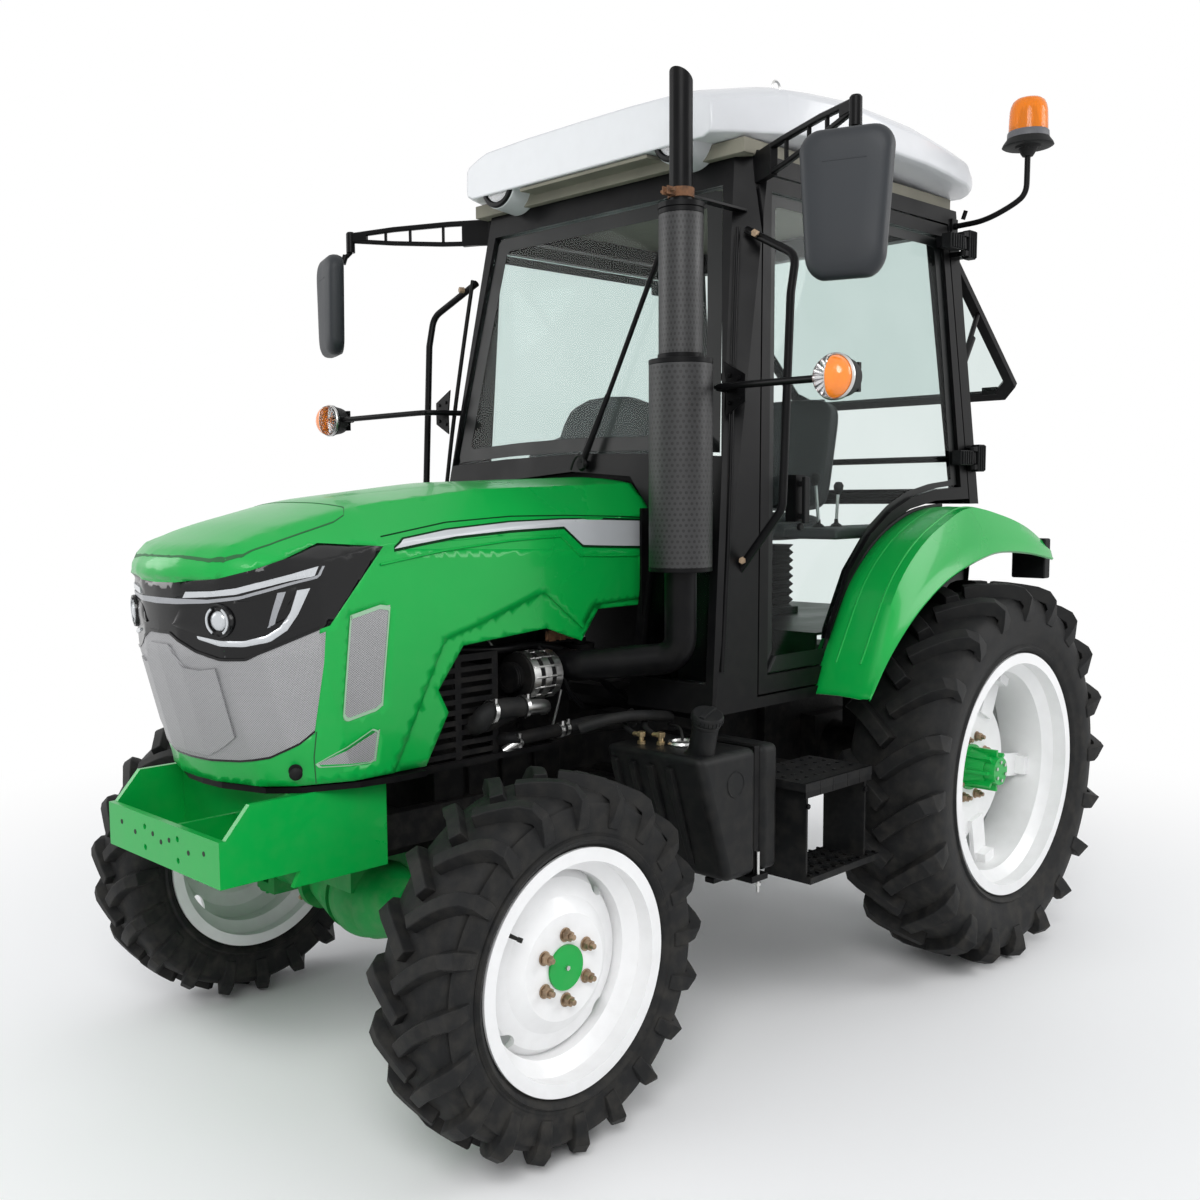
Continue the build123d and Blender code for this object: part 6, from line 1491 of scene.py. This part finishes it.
# The dash is a grey moulding: a wide pad under the windscreen and a hood over the instruments.
dash_grey = surface("dash_moulding", (0.045, 0.047, 0.050), 0.65, vary=0.12, grain=500, relief=0.2)
builder = bmesh.new()
rings = []
DASH = ((0.330, 1.625, -0.975), (0.305, 1.650, -1.00), (0.24, 1.668, -1.01), (0.175, 1.685, -1.015),
        (0.155, 1.735, -1.02), (0.13, 1.768, -1.02), (0.08, 1.785, -1.02), (0.0, 1.790, -1.02))
for y, top, rear in [(-y, top, rear) for y, top, rear in DASH] + list(reversed(DASH[:-1])):
    front_high = 1.57 + (top - 1.60) * 0.35
    section = ((-0.850, 1.40), (-0.850, 1.56), (-0.868, front_high), (-0.895, top - 0.022), (-0.930, top),
               (-0.975, top - 0.004), (rear, top - 0.03), (rear + 0.02, 1.56), (-0.985, 1.42))
    rings.append([Vector((F + x, y, z)) for x, z in section])
loop_faces(builder, rings)
hood_piece = close("dash_moulding", builder, dash_grey, sharp=30, bevel=0.006, segments=3)
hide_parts("dashboard")
builder = bmesh.new()
box(builder, F - 0.930, F - 0.845, -0.088, 0.088, 0.946, 1.41)
box(builder, F - 0.860, F - 0.842, -0.50, 0.50, 0.950, 1.42)
close("dash_column", builder, plastic, sharp=30, bevel=0.006)
face_glass = surface("gauge_face", (0.01, 0.011, 0.012), 0.12, vary=0.1, coat=0.4)
builder = bmesh.new()
for y, r in ((-0.075, 0.040), (0.0, 0.030), (0.075, 0.040)):
    turned(builder, [(0.0, 0.0), (r, 0.0), (r + 0.005, 0.004), (r + 0.007, 0.0), (r + 0.007, -0.01)],
           (F - 1.012, y, 1.690), (-1, 0, 0.3), steps=40)
close("gauges", builder, face_glass, sharp=40)
builder = bmesh.new()
for y, z in ((-0.22, 1.60), (-0.19, 1.60), (0.19, 1.60), (0.22, 1.60), (0.25, 1.60)):
    box(builder, F - 1.012, F - 1.000, y - 0.010, y + 0.010, z - 0.014, z + 0.014)
close("switches", builder, black, sharp=40, bevel=0.002)
hub = Vector((F - 1.075, 0, 1.640))
axis = Vector((-0.5, 0, 0.86)).normalized()
spin = axis.to_track_quat("Z", "Y").to_matrix().to_4x4()
wheel_rim = spun("steering_rim", plastic, [(0.190 + 0.0145 * math.cos(math.tau * k / 14),
                                            0.0145 * math.sin(math.tau * k / 14)) for k in range(15)], hub,
                 axis, steps=96, sharp=60)
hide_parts("steering_wheel")
builder = bmesh.new()
turned(builder, [(0.0, 0.022), (0.030, 0.020), (0.040, 0.010), (0.042, -0.012), (0.030, -0.03),
                 (0.0, -0.03)], hub, axis, steps=48)
for turn in (90, 210, 330):
    angle = math.radians(turn)
    out = (spin @ Vector((math.cos(angle), math.sin(angle), 0))).to_3d()
    side = out.cross(axis)
    rings = []
    for reach, wide, drop in ((0.030, 0.020, -0.004), (0.10, 0.013, -0.014), (0.165, 0.013, -0.008),
                              (0.186, 0.016, 0.0)):
        spot = hub + out * reach + axis * drop
        rings.append([spot + side * wide + axis * 0.004, spot - side * wide + axis * 0.004,
                      spot - side * wide - axis * 0.004, spot + side * wide - axis * 0.004])
    loop_faces(builder, rings)
rod(builder, hub - axis * 0.03, hub - axis * 0.14, 0.024, 0.034, sides=28)
close("steering_hub", builder, plastic, sharp=40, bevel=0.0015)

# Gear and linkage levers stand in the consoles beside the seat. Three pedals and a ribbed mat complete
# the driver's place.
builder = bmesh.new()
for sign in (1, -1):
    box(builder, R - 0.10, R + 0.42, sign * 0.30, sign * 0.50, 1.345, 1.380)
close("consoles", builder, dash_grey, bevel=0.010)
for i, (x, y, tall, lean_x) in enumerate(((0.36, -0.34, 0.16, 0.03), (0.28, -0.40, 0.14, 0.02),
                                          (0.20, -0.34, 0.13, -0.02), (0.34, 0.38, 0.15, 0.02),
                                          (0.24, 0.38, 0.12, -0.01))):
    foot = Vector((R + x, y, 1.375))
    tip = foot + Vector((lean_x, 0, tall))
    pipe(f"lever_{i}", [foot, foot + Vector((lean_x * 0.3, 0, tall * 0.5)), tip], 0.005, steel)
    builder = bmesh.new()
    turned(builder, [(0.0, -0.012), (0.007, -0.012), (0.015, 0.006), (0.016, 0.018), (0.010, 0.028),
                     (0.0, 0.030)], tip, (tip - foot).normalized(), steps=24)
    turned(builder, [(0.024, 0.0), (0.016, 0.012), (0.007, 0.018), (0.006, 0.030)], foot, (0, 0, 1),
           steps=24)
    close(f"lever_knob_{i}", builder, rubber, sharp=60)
builder = bmesh.new()
for y in (0.20, -0.16, -0.26):
    rod(builder, (F - 0.90, y, 1.28), (F - 1.00, y, 1.08), 0.008, sides=12)
    box(builder, F - 1.03, F - 1.00, y - 0.035, y + 0.035, 1.035, 1.10)
close("pedals", builder, rubber, bevel=0.003)
mat = surface("floor_mat", (0.035, 0.032, 0.030), 0.9, vary=0.3, patch=12, relief=0.4)
builder = bmesh.new()
box(builder, R + 0.655, F - 0.87, -0.52, 0.52, 0.9455, 0.9495)
for i in range(12):
    box(builder, R + 0.67, F - 0.88, -0.50 + 0.088 * i - 0.006, -0.50 + 0.088 * i + 0.006, 0.949, 0.952)
close("floor_mat", builder, mat)


# The rear window is a pane in a black tube frame, propped open by two gas struts. Two
# catches stand at its foot.
builder = bmesh.new()
for sign in (1, -1):
    start, end = Vector((R - 0.238, sign * 0.548, 1.890)), Vector((R - 0.512, sign * 0.478, 2.120))
    reach = end - start
    rod(builder, start, start + reach * 0.55, 0.0115, sides=24)
    rod(builder, start, start - reach * 0.03, 0.014, sides=16)
close("window_struts", builder, black)
builder = bmesh.new()
for y in (-0.38, 0.38):
    box(builder, R - 0.788, R - 0.776, y - 0.03, y + 0.03, 1.850, 1.880)
close("window_catches", builder, plastic, bevel=0.003)

# Each rear lamp is a black housing behind the fender with a red and an amber lens that face rearward.
red_lens = surface("red_lens", (0.55, 0.010, 0.008), 0.15, vary=0.15, patch=30, grain=120, relief=0.4,
                   coat=0.6)
for side, sign in SIDES:
    low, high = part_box("rear_lamps")
    y0, y1 = (high[1] - 0.118, high[1]) if sign > 0 else (low[1], low[1] + 0.118)
    builder = bmesh.new()
    box(builder, low[0] + 0.008, high[0] - 0.002, y0, y1, low[2] + 0.002, high[2] - 0.002)
    housing = close(f"rear_lamp_housing_{side}", builder, plastic, bevel=0.006, segments=3)
    if sign > 0:
        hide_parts("rear_lamps")
    for name, finish, z0, z1 in (("red", red_lens, 0.08, 0.52), ("amber", amber, 0.54, 0.92)):
        tall = high[2] - low[2]
        builder = bmesh.new()
        box(builder, low[0] + 0.0005, low[0] + 0.012, y0 + 0.008, y1 - 0.008, low[2] + tall * z0,
            low[2] + tall * z1)
        close(f"rear_lamp_{name}_{side}", builder, finish, bevel=0.004, segments=3)

# The linkage, drawbar and power take-off are steel under black paint; joints and splines stay bright.
builder = bmesh.new()
for c, s in around(6):
    out, side = Vector((0, c, s)), Vector((0, -s, c))
    middle = Vector((R - 0.265, 0, 0.640)) + out * 0.0165
    rings = [[middle + Vector((x, 0, 0)) + side * a + out * b for a,
              b in ((-0.004, -0.004), (0.004, -0.004), (0.004, 0.0028),
                    (-0.004, 0.0028))] for x in (-0.034, 0.055)]
    loop_faces(builder, rings)
rod(builder, (R - 0.390, 0, 0.424), (R - 0.390, 0, 0.4285), 0.020, sides=32)
for sign in (1, -1):
    turned(builder, [(0.0112, -0.0195), (0.0165, -0.0195), (0.0225, -0.008), (0.0235, 0.0), (0.0225, 0.008),
                     (0.0165, 0.0195), (0.0112, 0.0195), (0.0112, -0.0195)], (-1.570, sign * 0.380, 0.430),
           (0, 1, 0), steps=40)
    top, foot = Vector((R - 0.420, sign * 0.250, 0.840)), Vector((R - 0.480, sign * 0.285, 0.455))
    for start, end, radius, sides in ((0.30, 0.62, 0.0145, 24), (0.26, 0.30, 0.019, 6),
                                      (0.62, 0.66, 0.019, 6)):
        rod(builder, top.lerp(foot, start), top.lerp(foot, end), radius, sides=sides)
close("linkage_bright", builder, steel)
builder = bmesh.new()
p, q = Vector((R - 0.225, 0, 0.820)), Vector((R - 0.440, 0, 0.880))
for share in (0.30, 0.36):
    spot = p.lerp(q, share)
    rod(builder, spot, spot + (q - p).normalized() * 0.008, 0.020, sides=6)
rod(builder, p.lerp(q, 0.40), p.lerp(q, 0.72), 0.0185, sides=24)
close("top_link_sleeve", builder, black)
builder = bmesh.new()
for y, z in ((0.09, 0.60), (0.09, 0.80), (-0.09, 0.60), (-0.09, 0.80), (0.12, 0.70), (-0.12, 0.70)):
    rod(builder, (R - 0.198, y, z), (R - 0.216, y, z), 0.010, sides=6)
for sign in (1, -1):
    for c, s in around(8):
        x, z = R + 0.075 * c, 0.60 + 0.075 * s
        rod(builder, (x, sign * 0.438, z), (x, sign * 0.446, z), 0.008, sides=6)
close("rear_screws", builder, rust)
for side, sign in SIDES:
    builder = bmesh.new()
    for z in (0.80, 0.745):
        rod(builder, (R - 0.212, sign * 0.19, z), (R - 0.235, sign * 0.19, z), 0.020, sides=6)
        rod(builder, (R - 0.235, sign * 0.19, z), (R - 0.250, sign * 0.19, z), 0.017, sides=24)
    close(f"couplers_{side}", builder, steel)
